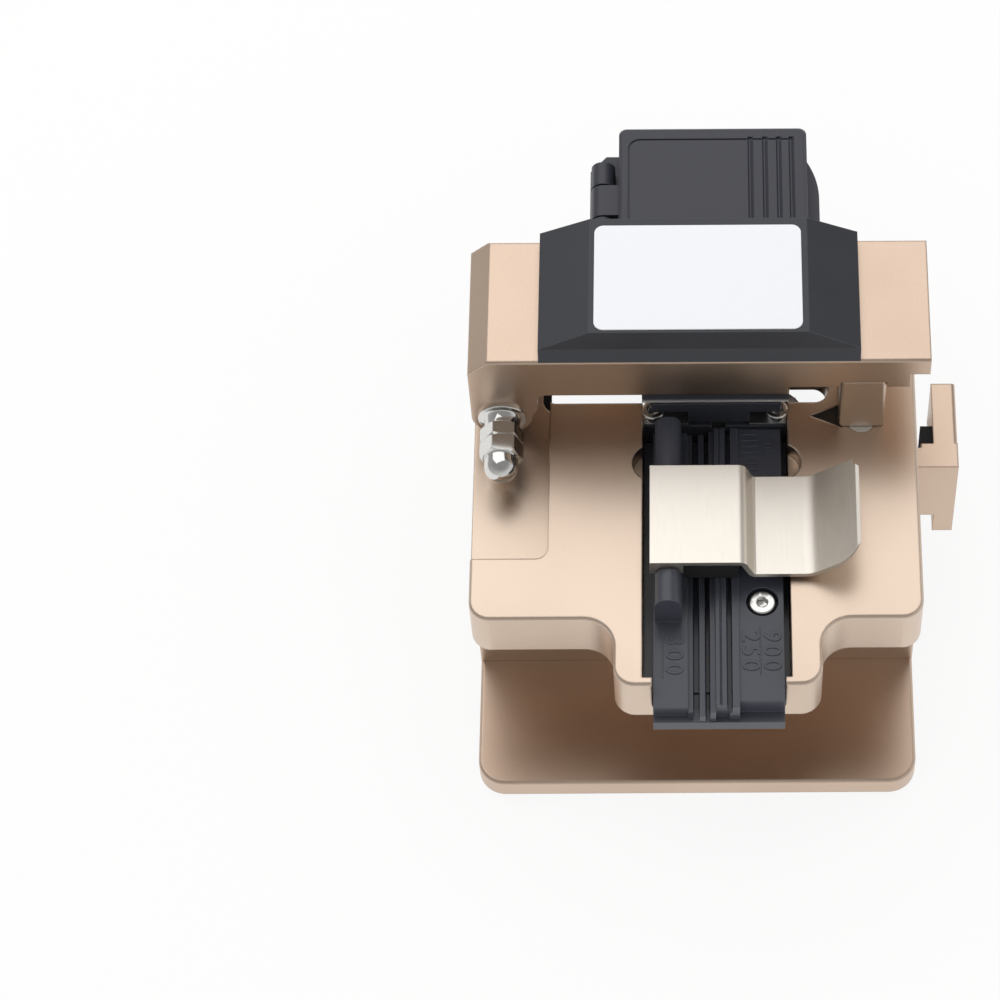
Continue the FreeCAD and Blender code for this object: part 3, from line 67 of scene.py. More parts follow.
# %% Helpers for colour and nodes
def linear(hex_code):
    """An sRGB hex colour as linear red, green and blue, with an alpha of 1."""
    channels = [int(hex_code[i:i + 2], 16) / 255 for i in (1, 3, 5)]
    return [c / 12.92 if c <= 0.04045 else ((c + 0.055) / 1.055) ** 2.4 for c in channels] + [1.0]


def add_node(tree, kind, links=None, values=None, **settings):
    """Adds a node; links and values are keyed by input name or number."""
    node = tree.nodes.new(kind)
    for key, value in settings.items():
        setattr(node, key, value)
    for key, value in (values or {}).items():
        node.inputs[key].default_value = value
    for key, socket in (links or {}).items():
        tree.links.new(socket, node.inputs[key])
    return node


print("a mid grey in linear:", [round(c, 3) for c in linear("#808080")])

# %% [markdown]
# ## The room
# Satin metal shows whatever stands around it, so the room matters as much as the lamp. It could be
# a picture of a studio, wrapped round the scene. Two levels are enough here, and are easier to
# tune: the walls are pale near the floor and dim overhead, which keeps upright faces calmer than
# level ones. The walls are also paler on the right and at the front, which leaves the slopes on
# the left in shade. A level that changes across the room is a sum of the direction's X and Y.

# %% Levels that change across the room
scene = bpy.context.scene
scene.view_settings.view_transform = "Standard"


def seen_directly(tree):
    """A value of 1 for rays that carry the background to the camera, and 0 for matt light."""
    path = add_node(tree, "ShaderNodeLightPath")
    seen = add_node(tree, "ShaderNodeMath", operation="MAXIMUM",
                    links={0: path.outputs["Is Camera Ray"], 1: path.outputs["Is Glossy Ray"]})
    return add_node(tree, "ShaderNodeMath", operation="MAXIMUM",
                    links={0: seen.outputs[0], 1: path.outputs["Is Transmission Ray"]}).outputs[0]


def slanted(tree, direction, level, to_right, to_back):
    """A level that changes steadily to the right and to the back of the room."""
    parts = add_node(tree, "ShaderNodeSeparateXYZ", links={0: direction}).outputs
    across = add_node(tree, "ShaderNodeMath", operation="MULTIPLY_ADD", links={0: parts["X"]},
                      values={1: to_right, 2: level})
    return add_node(tree, "ShaderNodeMath", operation="MULTIPLY_ADD",
                    links={0: parts["Y"], 2: across.outputs[0]}, values={1: to_back}).outputs[0]


horizon = {"level": 0.58, "to_right": 0.16, "to_back": -0.10}
overhead = {"level": 0.31, "to_right": 0.0, "to_back": 0.0}
print("walls near the floor:", horizon, "and overhead:", overhead)

# %% [markdown]
# A room this dim suits the metal, but it would leave the black plastics without any shape. Paler
# plastics would lose their depth, and another lamp would show in the metal. Light Path tells the
# rays apart instead: those that carry the room to the camera, directly or in a mirror, get it as
# it is, and the matt light that it throws on plastic and paper counts more than twice.

# %% The room's walls
def make_room(wall_foot, wall_top, matt_share):
    """A world that changes from the horizon's level to the overhead one between two heights."""
    world = bpy.data.worlds.new("studio_room")
    world.use_nodes = True
    tree = world.node_tree
    tree.nodes.clear()
    direction = add_node(tree, "ShaderNodeTexCoord").outputs["Generated"]
    height = add_node(tree, "ShaderNodeSeparateXYZ", links={0: direction}).outputs["Z"]
    wall = add_node(tree, "ShaderNodeMapRange", interpolation_type="SMOOTHSTEP",
                    links={"Value": height, "To Min": slanted(tree, direction, **horizon),
                           "To Max": slanted(tree, direction, **overhead)},
                    values={"From Min": wall_foot, "From Max": wall_top})
    share = add_node(tree, "ShaderNodeMapRange", links={"Value": seen_directly(tree)},
                     values={"To Min": matt_share, "To Max": 1.0})
    level = add_node(tree, "ShaderNodeMath", operation="MULTIPLY",
                     links={0: wall.outputs[0], 1: share.outputs[0]})
    room = add_node(tree, "ShaderNodeBackground", links={"Strength": level.outputs[0]},
                    values={"Color": linear("#FFFFFF")})
    add_node(tree, "ShaderNodeOutputWorld", links={0: room.outputs[0]})
    scene.world = world


# a direction's Z is the sine of its angle above the floor
make_room(wall_foot=0.1, wall_top=0.75, matt_share=2.2)
print("world:", scene.world.name)

# %% [markdown]
# ## The floor
# The tool stands on a sheet of white paper. Lit paper is never quite white, and more light on it
# would also be more light on the tool. So most of what the camera and the mirrors see of it is a
# plain glow of strength 1, which is white, and the rest is matt paper, which keeps the shadow.
# From a hand's length away the glow fades to the level of the walls, so that the floor has no edge
# and the metal mirrors no bright plain that runs to the horizon.

# %% White paper
def white_paper(glow_share, fade_from, fade_to):
    """Matt paper with a share of plain glow, which fades between two distances."""
    material = bpy.data.materials.new("white_paper_sweep")
    material.use_nodes = True
    tree = material.node_tree
    tree.nodes.clear()
    paper = add_node(tree, "ShaderNodeBsdfDiffuse", values={"Color": linear("#F2F2F0")})
    place = add_node(tree, "ShaderNodeTexCoord").outputs["Object"]
    outward = add_node(tree, "ShaderNodeVectorMath", operation="NORMALIZE", links={0: place})
    away = add_node(tree, "ShaderNodeVectorMath", operation="LENGTH", links={0: place})
    level = add_node(tree, "ShaderNodeMapRange", interpolation_type="SMOOTHSTEP",
                     links={"Value": away.outputs["Value"],
                            "To Max": slanted(tree, outward.outputs["Vector"], **horizon)},
                     values={"From Min": fade_from, "From Max": fade_to, "To Min": 1.0})
    glow = add_node(tree, "ShaderNodeEmission", links={"Strength": level.outputs[0]},
                    values={"Color": linear("#FFFFFF")})
    share = add_node(tree, "ShaderNodeMath", operation="MULTIPLY",
                     links={0: seen_directly(tree)}, values={1: glow_share})
    mix = add_node(tree, "ShaderNodeMixShader",
                   links={0: share.outputs[0], 1: paper.outputs[0], 2: glow.outputs[0]})
    add_node(tree, "ShaderNodeOutputMaterial", links={0: mix.outputs[0]})
    print("white paper, whose glow fades from", fade_from, "to", fade_to, "m")
    return material


paper_sheet = white_paper(glow_share=0.87, fade_from=0.14, fade_to=0.7)

# %% Floor
reach = 6.0
corners = [(-reach, -reach, 0), (reach, -reach, 0), (reach, reach, 0), (-reach, reach, 0)]
mesh = bpy.data.meshes.new("floor")
mesh.from_pydata(corners, [], [(0, 1, 2, 3)])
mesh.materials.append(paper_sheet)
floor = bpy.data.objects.new("floor", mesh)
scene.collection.objects.link(floor)
print("floor of", 2 * reach, "m each way")

# %% [markdown]
# ## The soft box
# One large soft box hangs behind the tool, a little to the left. The camera looks down from the
# front, so this is where the level faces mirror it, and they turn bright while the upright ones
# stay dark. A small lamp would draw a hard spot there. One about as wide as its distance gives
# the even sheen of a studio shot, and a soft shadow that falls towards the viewer.

# %% Soft box
def make_soft_box(name, place, aim, width, depth, watts):
    """A rectangular lamp at a place, turned towards its aim."""
    data = bpy.data.lights.new(name, "AREA")
    data.shape = "RECTANGLE"
    data.size = width
    data.size_y = depth
    data.energy = watts
    lamp = bpy.data.objects.new(name, data)
    lamp.location = place
    lamp.rotation_euler = (Vector(aim) - Vector(place)).to_track_quat("-Z", "Y").to_euler()
    scene.collection.objects.link(lamp)
    print(name, width, "by", depth, "m,", watts, "W")


make_soft_box("rear_soft_box", place=(-0.15, 0.36, 0.62), aim=(0, 0, 0.03), width=0.85, depth=0.7,
              watts=2.22)

# %% [markdown]
# ## The camera
# The tool stands in the right half of the frame, seen from the front and from high up. A short
# lens from nearby would spread its sides like a fan, so a long one looks from half a metre away
# and keeps them nearly parallel. Turning the camera would also bring the tool to the right, but
# would tilt it. The lens is shifted instead, which only moves the picture.

# %% Camera
elevation = math.radians(60)
distance = 0.525
roll = -0.006
target = Vector((0.00015, -0.0015, 0.020))
camera_data = bpy.data.cameras.new("camera")
camera_data.lens = 129.2
camera_data.shift_x = -0.197
camera_data.shift_y = 0.0495
camera = bpy.data.objects.new("camera", camera_data)
back = Vector((0, -math.cos(elevation), math.sin(elevation)))
tilt = Matrix.Rotation(math.pi / 2 - elevation, 4, "X") @ Matrix.Rotation(roll, 4, "Z")
camera.matrix_world = Matrix.Translation(target + back * distance) @ tilt
scene.collection.objects.link(camera)
scene.camera = camera
print("camera at", [round(v, 4) for v in camera.matrix_world.translation])

# %% [markdown]
# ## Edges that catch the light
# No real edge is a mathematical line: it is broken with a file, or rounded by the mould, and that
# narrow band is what the eye reads as quality. The CAD solids have sharp edges, and rounding each
# one would take many faces. A Bevel node rounds the normals instead, and so only the light. Where
# its normal leaves the flat one, there is an edge, so the same node also gives a mask for wear.

# %% Starting a material, and a mask for its edges
def start_material(name):
    """An empty material; returns it, its node tree and a place in the object, in metres."""
    material = bpy.data.materials.new(name)
    material.use_nodes = True
    tree = material.node_tree
    tree.nodes.clear()
    return material, tree, add_node(tree, "ShaderNodeTexCoord").outputs["Object"]


def edge_mask(tree, rounded, full_at):
    """A mask that grows as the rounded normal leaves the flat one; 1 where they differ by full_at."""
    flat = add_node(tree, "ShaderNodeNewGeometry")
    along = add_node(tree, "ShaderNodeVectorMath", operation="DOT_PRODUCT",
                     links={0: rounded, 1: flat.outputs["True Normal"]})
    return add_node(tree, "ShaderNodeMapRange", links={"Value": along.outputs["Value"]},
                    values={"From Min": 1.0, "From Max": 1.0 - full_at,
                            "To Min": 0.0, "To Max": 1.0}).outputs[0]


milled_edge, moulded_edge, plated_edge = 0.36 * mm, 0.16 * mm, 0.08 * mm
bevel_samples = 6
print("edge widths in mm:", [round(e / mm, 2) for e in (milled_edge, moulded_edge, plated_edge)])

# %% [markdown]
# ## Anodised aluminium
# The body, arm and handle are milled aluminium. Their faces were blasted with fine glass beads
# and then anodised, which gives a satin metal with a faint grain of about a tenth of a
# millimetre. The dye takes a little unevenly, in clouds the size of a thumb. The sharp edges were
# broken last, so they are smoother than the faces, and each one draws a thin crisp line of the
# room. A blasted face has a roughness of about 0.4, and a well sealed one a little less. A scan of
# real metal could carry the grain, but noise in the object's own coordinates needs no unwrapping,
# shows no seam, and has its true size on every face.

# %% Blasted and anodised metal
# 0.1 mm beads are finer than the render shows, so their grain is drawn at 0.25 mm
bead_grain, dye_cloud = 0.25 * mm, 18 * mm


def anodised(name, face_hex, shade_hex, edge_hex, roughness):
    """Bead-blasted, anodised aluminium."""
    material, tree, place = start_material(name)
    grain = add_node(tree, "ShaderNodeTexNoise", links={"Vector": place},
                     values={"Scale": 1 / bead_grain, "Detail": 3.0, "Roughness": 0.6})
    clouds = add_node(tree, "ShaderNodeTexNoise", links={"Vector": place},
                      values={"Scale": 1 / dye_cloud, "Detail": 2.0})
    tone = add_node(tree, "ShaderNodeMath", operation="MULTIPLY_ADD",
                    links={0: grain.outputs["Fac"], 2: clouds.outputs["Fac"]}, values={1: 0.8})
    face = add_node(tree, "ShaderNodeValToRGB", links={0: tone.outputs[0]})
    dark_end, pale_end = face.color_ramp.elements
    dark_end.position = 0.45
    dark_end.color = linear(shade_hex)
    pale_end.position = 1.0
    pale_end.color = linear(face_hex)
    rounded = add_node(tree, "ShaderNodeBevel", samples=bevel_samples,
                       values={"Radius": milled_edge}).outputs[0]
    edges = edge_mask(tree, rounded, full_at=0.3)
    colour = add_node(tree, "ShaderNodeMix", data_type="RGBA",
                      links={"Factor": edges, "A": face.outputs[0]},
                      values={"B": linear(edge_hex)})
    gloss = add_node(tree, "ShaderNodeMapRange", links={"Value": edges},
                     values={"To Min": roughness, "To Max": roughness * 0.6})
    bump = add_node(tree, "ShaderNodeBump",
                    links={"Height": grain.outputs["Fac"], "Normal": rounded},
                    values={"Strength": 0.35, "Distance": 0.02 * mm})
    metal = add_node(tree, "ShaderNodeBsdfPrincipled",
                     links={"Base Color": colour.outputs["Result"],
                            "Roughness": gloss.outputs[0], "Normal": bump.outputs[0]},
                     values={"Metallic": 1.0})
    add_node(tree, "ShaderNodeOutputMaterial", links={0: metal.outputs[0]})
    return material


print("grain of", bead_grain / mm, "mm and clouds of", round(dye_cloud / mm), "mm")

# %% Three anodised materials, one a darker copy that paints shade
gold = anodised("anodised_aluminium_champagne_gold", "#DAC6B4", "#CFBBA8", "#D6C2B0", 0.34)
# the arm, the base and the handle take a darker copy of the gold, which paints shade on them
painted_shade_gold = anodised("anodised_aluminium_champagne_painted_shade", "#D1BAA7", "#C6AF9B", "#CCB5A2", 0.34)
silver = anodised("anodised_aluminium_clear", "#C9CACC", "#BBBCBF", "#E8E8EA", 0.42)
print("made", gold.name, painted_shade_gold.name, "and", silver.name)

# %% [markdown]
# ## Moulded plastics and rubber
# The cap, the clamp blocks and the offcut collector are injection-moulded ABS. The mould was
# spark eroded, which leaves a satin skin with a pebble of about 0.15 mm. The fibre rail is
# acetal, a slippery engineering plastic that comes out of its mould smoother. The pads and
# rollers are nitrile rubber, matt and nearly black. All of them have the same recipe: a pebbled
# skin, a colour that drifts with the flow of the melt, and edges that hands have rubbed paler.
# Displacement could raise the pebble, at the price of millions of faces. A bump only bends the
# normals, and at this size that is all that shows. Black pigment hides what is below the skin,
# so no light has to pass through the plastic.

# %% A moulded skin
# the melt's flow lines are a finger's width apart
flow_line = 9 * mm


def moulded(name, face_hex, shade_hex, edge_hex, roughness, pebble, depth):
    """A dark moulded plastic or rubber with a pebbled skin and rubbed, paler edges."""
    material, tree, place = start_material(name)
    pebbles = add_node(tree, "ShaderNodeTexVoronoi", feature="SMOOTH_F1", links={"Vector": place},
                       values={"Scale": 1 / pebble, "Smoothness": 0.6})
    flow = add_node(tree, "ShaderNodeTexNoise", links={"Vector": place},
                    values={"Scale": 1 / flow_line, "Detail": 4.0, "Roughness": 0.55})
    colour = add_node(tree, "ShaderNodeMix", data_type="RGBA",
                      links={"Factor": flow.outputs["Fac"]},
                      values={"A": linear(shade_hex), "B": linear(face_hex)})
    gloss = add_node(tree, "ShaderNodeMapRange", links={"Value": flow.outputs["Fac"]},
                     values={"To Min": roughness - 0.05, "To Max": roughness + 0.05})
    rounded = add_node(tree, "ShaderNodeBevel", samples=bevel_samples,
                       values={"Radius": moulded_edge}).outputs[0]
    edges = edge_mask(tree, rounded, full_at=0.25)
    rubbed = add_node(tree, "ShaderNodeMix", data_type="RGBA",
                      links={"Factor": edges, "A": colour.outputs["Result"]},
                      values={"B": linear(edge_hex)})
    bump = add_node(tree, "ShaderNodeBump",
                    links={"Height": pebbles.outputs["Distance"], "Normal": rounded},
                    values={"Strength": 0.5, "Distance": depth})
    plastic = add_node(tree, "ShaderNodeBsdfPrincipled",
                       links={"Base Color": rubbed.outputs["Result"],
                              "Roughness": gloss.outputs[0], "Normal": bump.outputs[0]},
                       values={"IOR": 1.5})
    add_node(tree, "ShaderNodeOutputMaterial", links={0: plastic.outputs[0]})
    return material


print("flow lines", round(flow_line / mm), "mm apart")

# %% Three plastics and a rubber
# a pebble of 0.15 mm is finer than the render shows, so each one is drawn at 0.25 mm or more
cap_abs = moulded("abs_black_spark_eroded", "#2D2F35", "#27282E", "#606269",
                  roughness=0.36, pebble=0.25 * mm, depth=0.012 * mm)
bin_abs = moulded("abs_dark_grey_spark_eroded", "#33343E", "#2D2E37", "#51535C",
                  roughness=0.38, pebble=0.25 * mm, depth=0.012 * mm)
rail_acetal = moulded("acetal_black_moulded", "#40424B", "#393B43", "#5E6068",
                      roughness=0.32, pebble=0.4 * mm, depth=0.006 * mm)
rubber = moulded("nitrile_rubber_moulded", "#1F1F21", "#19191B", "#2A2A2C",
                 roughness=0.8, pebble=0.3 * mm, depth=0.02 * mm)
print("made", cap_abs.name, bin_abs.name, rail_acetal.name, rubber.name)

# %% [markdown]
# ## Plated and bare metals
# The nuts and the washer are nickel-plated steel: nearly a mirror, with fine turning marks. Small
# screws are plated in a barrel, where they knock against each other and come out less bright. The
# holder lid is bent from sheet and plated in a warm satin nickel, over lines that were brushed
# along the fibre. Pins and rails are bare ground steel, whose grinding lines run one way. The
# shader's anisotropy could stretch the gloss along such lines, but would draw none of them. A
# noise that is stretched along one axis makes the lines, and an even one makes a mottle. Real
# lines are a few hundredths of a millimetre apart, so they are drawn five to ten times as coarse.

# %% A metal with fine lines
def lined_metal(name, face_hex, shade_hex, roughness, line, stretch, depth):
    """A metal with fine lines; stretch is the pattern's scale per axis, less along the lines."""
    material, tree, place = start_material(name)
    stretched = add_node(tree, "ShaderNodeMapping", links={"Vector": place},
                         values={"Scale": stretch})
    lines = add_node(tree, "ShaderNodeTexNoise", links={"Vector": stretched.outputs[0]},
                     values={"Scale": 1 / line, "Detail": 4.0, "Roughness": 0.6})
    colour = add_node(tree, "ShaderNodeMix", data_type="RGBA",
                      links={"Factor": lines.outputs["Fac"]},
                      values={"A": linear(shade_hex), "B": linear(face_hex)})
    gloss = add_node(tree, "ShaderNodeMapRange", links={"Value": lines.outputs["Fac"]},
                     values={"To Min": roughness * 0.8, "To Max": roughness * 1.2})
    rounded = add_node(tree, "ShaderNodeBevel", samples=bevel_samples,
                       values={"Radius": plated_edge}).outputs[0]
    bump = add_node(tree, "ShaderNodeBump",
                    links={"Height": lines.outputs["Fac"], "Normal": rounded},
                    values={"Strength": 0.3, "Distance": depth})
    metal = add_node(tree, "ShaderNodeBsdfPrincipled",
                     links={"Base Color": colour.outputs["Result"],
                            "Roughness": gloss.outputs[0], "Normal": bump.outputs[0]},
                     values={"Metallic": 1.0})
    add_node(tree, "ShaderNodeOutputMaterial", links={0: metal.outputs[0]})
    return material


even = (1, 1, 1)
brushed_along_y = (1, 0.08, 1)
ground_along_x = (0.1, 1, 1)
ground_along_y = (1, 0.2, 1)
print("line patterns:", even, brushed_along_y, ground_along_x, ground_along_y)

# %% Nickel plate, from bright to satin
nickel = lined_metal("nickel_plated_steel", "#E4E3E0", "#CFCECB",
                     roughness=0.12, line=0.4 * mm, stretch=even, depth=0.003 * mm)
screw_nickel = lined_metal("nickel_plated_screw_steel", "#F0EFEC", "#DCDBD8",
                           roughness=0.26, line=0.3 * mm, stretch=even, depth=0.003 * mm)
disc_nickel = lined_metal("nickel_plated_disc_satin", "#F6F5F2", "#E6E5E1",
                          roughness=0.55, line=0.3 * mm, stretch=even, depth=0.003 * mm)
lid_nickel = lined_metal("satin_nickel_plated_sheet", "#F6F0E7", "#EAE3D8",
                         roughness=0.42, line=0.3 * mm, stretch=brushed_along_y, depth=0.004 * mm)
magnet_nickel = lined_metal("nickel_plated_magnet", "#DAD9D5", "#C6C5C0",
                            roughness=0.2, line=0.5 * mm, stretch=even, depth=0.004 * mm)
print("plated:", [m.name for m in (nickel, screw_nickel, disc_nickel, lid_nickel, magnet_nickel)])

# %% Bare steel, carbide and bronze
ground_steel = lined_metal("ground_steel", "#C4C4C3", "#A9A9A8",
                           roughness=0.3, line=0.2 * mm, stretch=ground_along_x, depth=0.006 * mm)
spring_steel = lined_metal("spring_steel_wire", "#9B9B99", "#7D7D7B",
                           roughness=0.28, line=0.2 * mm, stretch=even, depth=0.004 * mm)
carbide = lined_metal("ground_tungsten_carbide", "#8E9095", "#75777C",
                      roughness=0.25, line=0.15 * mm, stretch=ground_along_y, depth=0.004 * mm)
# a sintered bush is pressed from powder, so its mottle is that of grains and pores
bronze = lined_metal("sintered_bronze", "#B58A55", "#8E6638",
                     roughness=0.45, line=0.18 * mm, stretch=even, depth=0.01 * mm)
print("bare:", [m.name for m in (ground_steel, spring_steel, carbide, bronze)])

# %% [markdown]
# ## The label
# The plate on the cap is a plain white polyester film with a satin coat, and it carries no print.
# Polyester bends light more than most plastics do, with an IOR of 1.57. One flat white would look
# like a hole in the picture, so the film is very slightly flecked, as every coated film is when
# the light rakes across it. A coat's real flecks are finer than the render shows, so they are
# drawn about half a millimetre wide.

# %% Label film
fleck_size = 0.4 * mm
label_white, tree, place = start_material("polyester_label_white_satin")
fleck = add_node(tree, "ShaderNodeTexNoise", links={"Vector": place},
                 values={"Scale": 1 / fleck_size, "Detail": 3.0})
colour = add_node(tree, "ShaderNodeMix", data_type="RGBA", links={"Factor": fleck.outputs["Fac"]},
                  values={"A": linear("#E6E8EB"), "B": linear("#EBEDF0")})
bump = add_node(tree, "ShaderNodeBump", links={"Height": fleck.outputs["Fac"]},
                values={"Strength": 0.2, "Distance": 0.004 * mm})
film = add_node(tree, "ShaderNodeBsdfPrincipled",
                links={"Base Color": colour.outputs["Result"], "Normal": bump.outputs[0]},
                values={"Roughness": 0.38, "IOR": 1.57})
add_node(tree, "ShaderNodeOutputMaterial", links={0: film.outputs[0]})
print("made", label_white.name, "with flecks of", fleck_size / mm, "mm")

# %% [markdown]
# ## Dressing the CAD solids
# Each solid keeps its shape and gets the finish of the real piece, save that the arm, the base and
# the handle get a darker copy of theirs, which paints shade. A table from finish to solids is easier
# to read and to check than sixty single lines.

# %% Give every solid its finish
finishes = {
    gold: ["deck_frame", "arm_foot"],
    # a darker copy of the gold, which paints shade on these three
    painted_shade_gold: ["base_plate", "arm", "slide_handle"],
    silver: ["carriage", "blade_bracket", "spring_plate"],
    cap_abs: ["arm_cap", "clamp_carrier", "lower_clamps", "upper_clamp"],
    bin_abs: ["collector_bin", "collector_lid", "roller_knob"],
    rail_acetal: ["fibre_rail"],
    lid_nickel: ["holder_lid"],
    nickel: ["hinge_washer", "lock_nut", "dome_nut"],
    screw_nickel: ["base_screws", "frame_screws", "clamp_screws", "arm_screws", "cap_screws",
                   "carriage_screws", "foot_screw", "height_screw", "blade_screw"],
    ground_steel: ["hinge_shaft", "lid_hinge_pin", "clamp_plates", "guide_rail", "guide_block",
                   "bracket_pivot_pin", "blade_shaft", "blade_washer", "collector_lid_pin",
                   "drive_shaft", "pinch_shaft", "lid_disc", "anvil", "blade_hub"],
    spring_steel: ["clamp_springs", "anvil_spring"],
    magnet_nickel: ["rail_magnet", "foot_magnet"],
    disc_nickel: ["deck_disc", "carrier_plate"],
    carbide: ["blade_wheel"],
    bronze: ["hinge_bushes"],
    rubber: ["base_pad", "lower_pads", "lid_pad", "upper_pads", "guide_bumpers", "handle_bumper",
             "drive_roller", "pinch_roller"],
    label_white: ["label_plate"],
}
dressed = set()
for finish, names in finishes.items():
    for name in names:
        mesh = nodes[name].data
        mesh.materials.clear()
        mesh.materials.append(finish)
        dressed.add(name)
print("dressed", len(dressed), "of", len(nodes), "bare:", sorted(set(nodes) - dressed))

# %% [markdown]
# ## Making a piece
# A piece could be modelled by hand. Built in code, it can take its place and size from the CAD
# solids, and follows them when they change. It is linked to the scene, gets its finish, and rides
# on the CAD body that carries it, so that it moves with it. Its faces are smooth, and the edges
# that turn by more than a given angle stay sharp. A piece that stands for a CAD solid replaces it:
# the solid is then hidden, but it still counts for collision. Heights are measured by a ray that
# falls from above, so that a detail lies on a face wherever the CAD put that face.

# %% Helpers for pieces
def add_piece(name, shape, material, body, sharp_deg=30):
    """Turns a bmesh into a piece that rides on a body."""
    mesh = bpy.data.meshes.new(name)
    bmesh.ops.recalc_face_normals(shape, faces=shape.faces)
    shape.to_mesh(mesh)
    shape.free()
    mesh.shade_smooth()
    mesh.set_sharp_from_angle(angle=math.radians(sharp_deg))
    mesh.materials.append(material)
    piece = bpy.data.objects.new(name, mesh)
    scene.collection.objects.link(piece)
    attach(piece, body)
    print(name, len(mesh.polygons), "faces, on", body)
    return piece


def skin(shape, rows, loop=False):
    """Joins rows of points with quads; a loop joins the last to the first, else both ends close."""
    pairs = list(zip(rows, rows[1:])) + ([(rows[-1], rows[0])] if loop else [])
    for low, high in pairs:
        for k in range(len(low)):
            after = (k + 1) % len(low)
            shape.faces.new((low[k], low[after], high[after], high[k]))
    if not loop:
        shape.faces.new(rows[0])
        shape.faces.new(rows[-1])


def top_of(node, x, y):
    """The height of a CAD solid's upper face at one place."""
    _hit, place, _normal, _index = nodes[node].ray_cast(Vector((x, y, 1.0)), Vector((0, 0, -1)))
    return place.z


up, front, rear = Vector((0, 0, 1)), Vector((0, -1, 0)), Vector((0, 1, 0))
print("the deck is", round(top_of("deck_frame", -20 * mm, 0) / mm, 1), "mm high on the left")

# %% [markdown]
# ## Turned parts
# Nuts, washers and screws come from a lathe or a cold header, so all of them are rings of points
# about an axis, joined by quads. A Screw modifier could spin a profile, but only a round one. Here
# a ring is usually a circle, and where it has to be a hexagon, its radius depends on the angle. A
# real nut's corners are turned off by a 30 degree cone, and a cone that cuts flats leaves the
# curved edges that every nut has. They come out by themselves: the further a point of the hexagon
# lies from the axis, the lower the cone meets it.

# %% Rings about an axis
steps_round = 96


def turned(shape, rings, foot, outward, steps=steps_round, close=True):
    """Adds a surface of rings; a ring is (radius, height) or a function of the angle."""
    turn = Vector(outward).to_track_quat("Z", "X").to_matrix()
    rows = []
    for ring in rings:
        row = []
        for k in range(steps):
            angle = 2 * math.pi * k / steps
            radius, height = ring(angle) if callable(ring) else ring
            point = turn @ Vector((radius * math.cos(angle), radius * math.sin(angle), height))
            row.append(shape.verts.new(Vector(foot) + point))
        rows.append(row)
    skin(shape, rows, loop=close)


print("a turned part has", steps_round, "steps round it, unless it says otherwise")

# %% Hexagons, cones and rounded edges
def hexagon(across, height, first_corner=0.0):
    """A ring in the shape of a hexagon, at one height; across is measured over the flats."""
    half = math.pi / 6

    def ring(angle):
        from_corner = (angle - first_corner + half) % (2 * half) - half
        from_flat = half - abs(from_corner)
        return across / 2 / math.cos(from_flat), height
    return ring


def coned(ring, seat_radius, slope):
    """The same ring, sunk where it reaches outside a seat radius, as a cone would cut it."""
    def lower(angle):
        radius, height = ring(angle)
        return radius, height - slope * max(0.0, radius - seat_radius)
    return lower


def arc_rings(centre_r, centre_h, radius, from_deg, to_deg, count):
    """Rings along a rounded edge of the given radius."""
    rings = []
    for i in range(count + 1):
        angle = math.radians(from_deg + (to_deg - from_deg) * i / count)
        rings.append((centre_r + radius * math.cos(angle), centre_h + radius * math.sin(angle)))
    return rings


print("a 5.5 mm nut is", round(hexagon(5.5, 0)(0)[0] * 2, 2), "mm across its corners")

# %% [markdown]
# ## The hinge's washer
# The arm turns on a shaft whose front end carries a flanged washer, a thin lock nut and a domed
# cap nut, all for an M3 thread. These are what the eye finds first on the left of the tool,
# because they are bright and round. The washer was turned in one piece: a wide flange that bears
# on the arm's knuckle, and a collar that the nut presses on. A Bevel modifier could round its
# edges, but in a list of rings an edge is just one short arc, so it's made with the rest.

# %% Flanged washer
low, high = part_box("hinge_washer")
hinge_x, hinge_z = (low.x + high.x) / 2, (low.z + high.z) / 2
flange_r, collar_r, bore_r = (high.x - low.x) / 2, 2.5 * mm, 1.55 * mm
flange_t, fillet, rim = 0.5 * mm, 0.25 * mm, 0.2 * mm
length = high.y - low.y

shape = bmesh.new()
turned(shape, [(bore_r, 0.0), (flange_r, 0.0)]
       + arc_rings(flange_r - rim, flange_t - rim, rim, 0, 90, 4)
       + [(collar_r + fillet, flange_t), (collar_r, flange_t + fillet)]
       + arc_rings(collar_r - rim, length - rim, rim, 0, 90, 4)
       + [(bore_r, length)], (hinge_x, high.y, hinge_z), front)
washer = add_piece("hinge_washer_turned", shape, nickel, "arm", 50)
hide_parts("hinge_washer")

# %% [markdown]
# ## Lock nut and cap nut
# The lock nut is a plain hexagon, with its corners turned off at both ends. The cap nut has the
# same hexagon, then a short neck and a half ball, which covers the thread. Both are 5.5 mm across
# their flats. A Boolean of a prism and a cone would cut the same corners, but would leave long
# thin faces that shade badly. A nut stops at whatever angle it is tight, so the two don't quite
# line up, and their flats catch different parts of the room.

# %% A nut's rings
nut_across = 5.5 * mm
flat_up = math.radians(30)
lock_angle, dome_angle = flat_up - 0.15, flat_up - 0.12


def nut_rings(height, turn, bore):
    """The rings of a hexagon nut with its corners turned off at both ends."""
    slope = math.tan(math.radians(30))
    seat = nut_across / 2 * 0.97
    upper = coned(hexagon(nut_across, height, turn), seat, slope)
    lower = coned(hexagon(nut_across, 0.0, turn), seat, -slope)
    return [(bore, 0.0), (seat, 0.0), lower, upper, (seat, height), (bore, height)]


print("nuts turned by", [round(math.degrees(a), 1) for a in (lock_angle, dome_angle)], "degrees")

# %% Lock nut and cap nut
low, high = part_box("lock_nut")
shape = bmesh.new()
turned(shape, nut_rings(high.y - low.y, lock_angle, bore_r), (hinge_x, high.y, hinge_z), front)
lock_nut = add_piece("lock_nut_chamfered", shape, nickel, "arm", 20)
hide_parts("lock_nut")

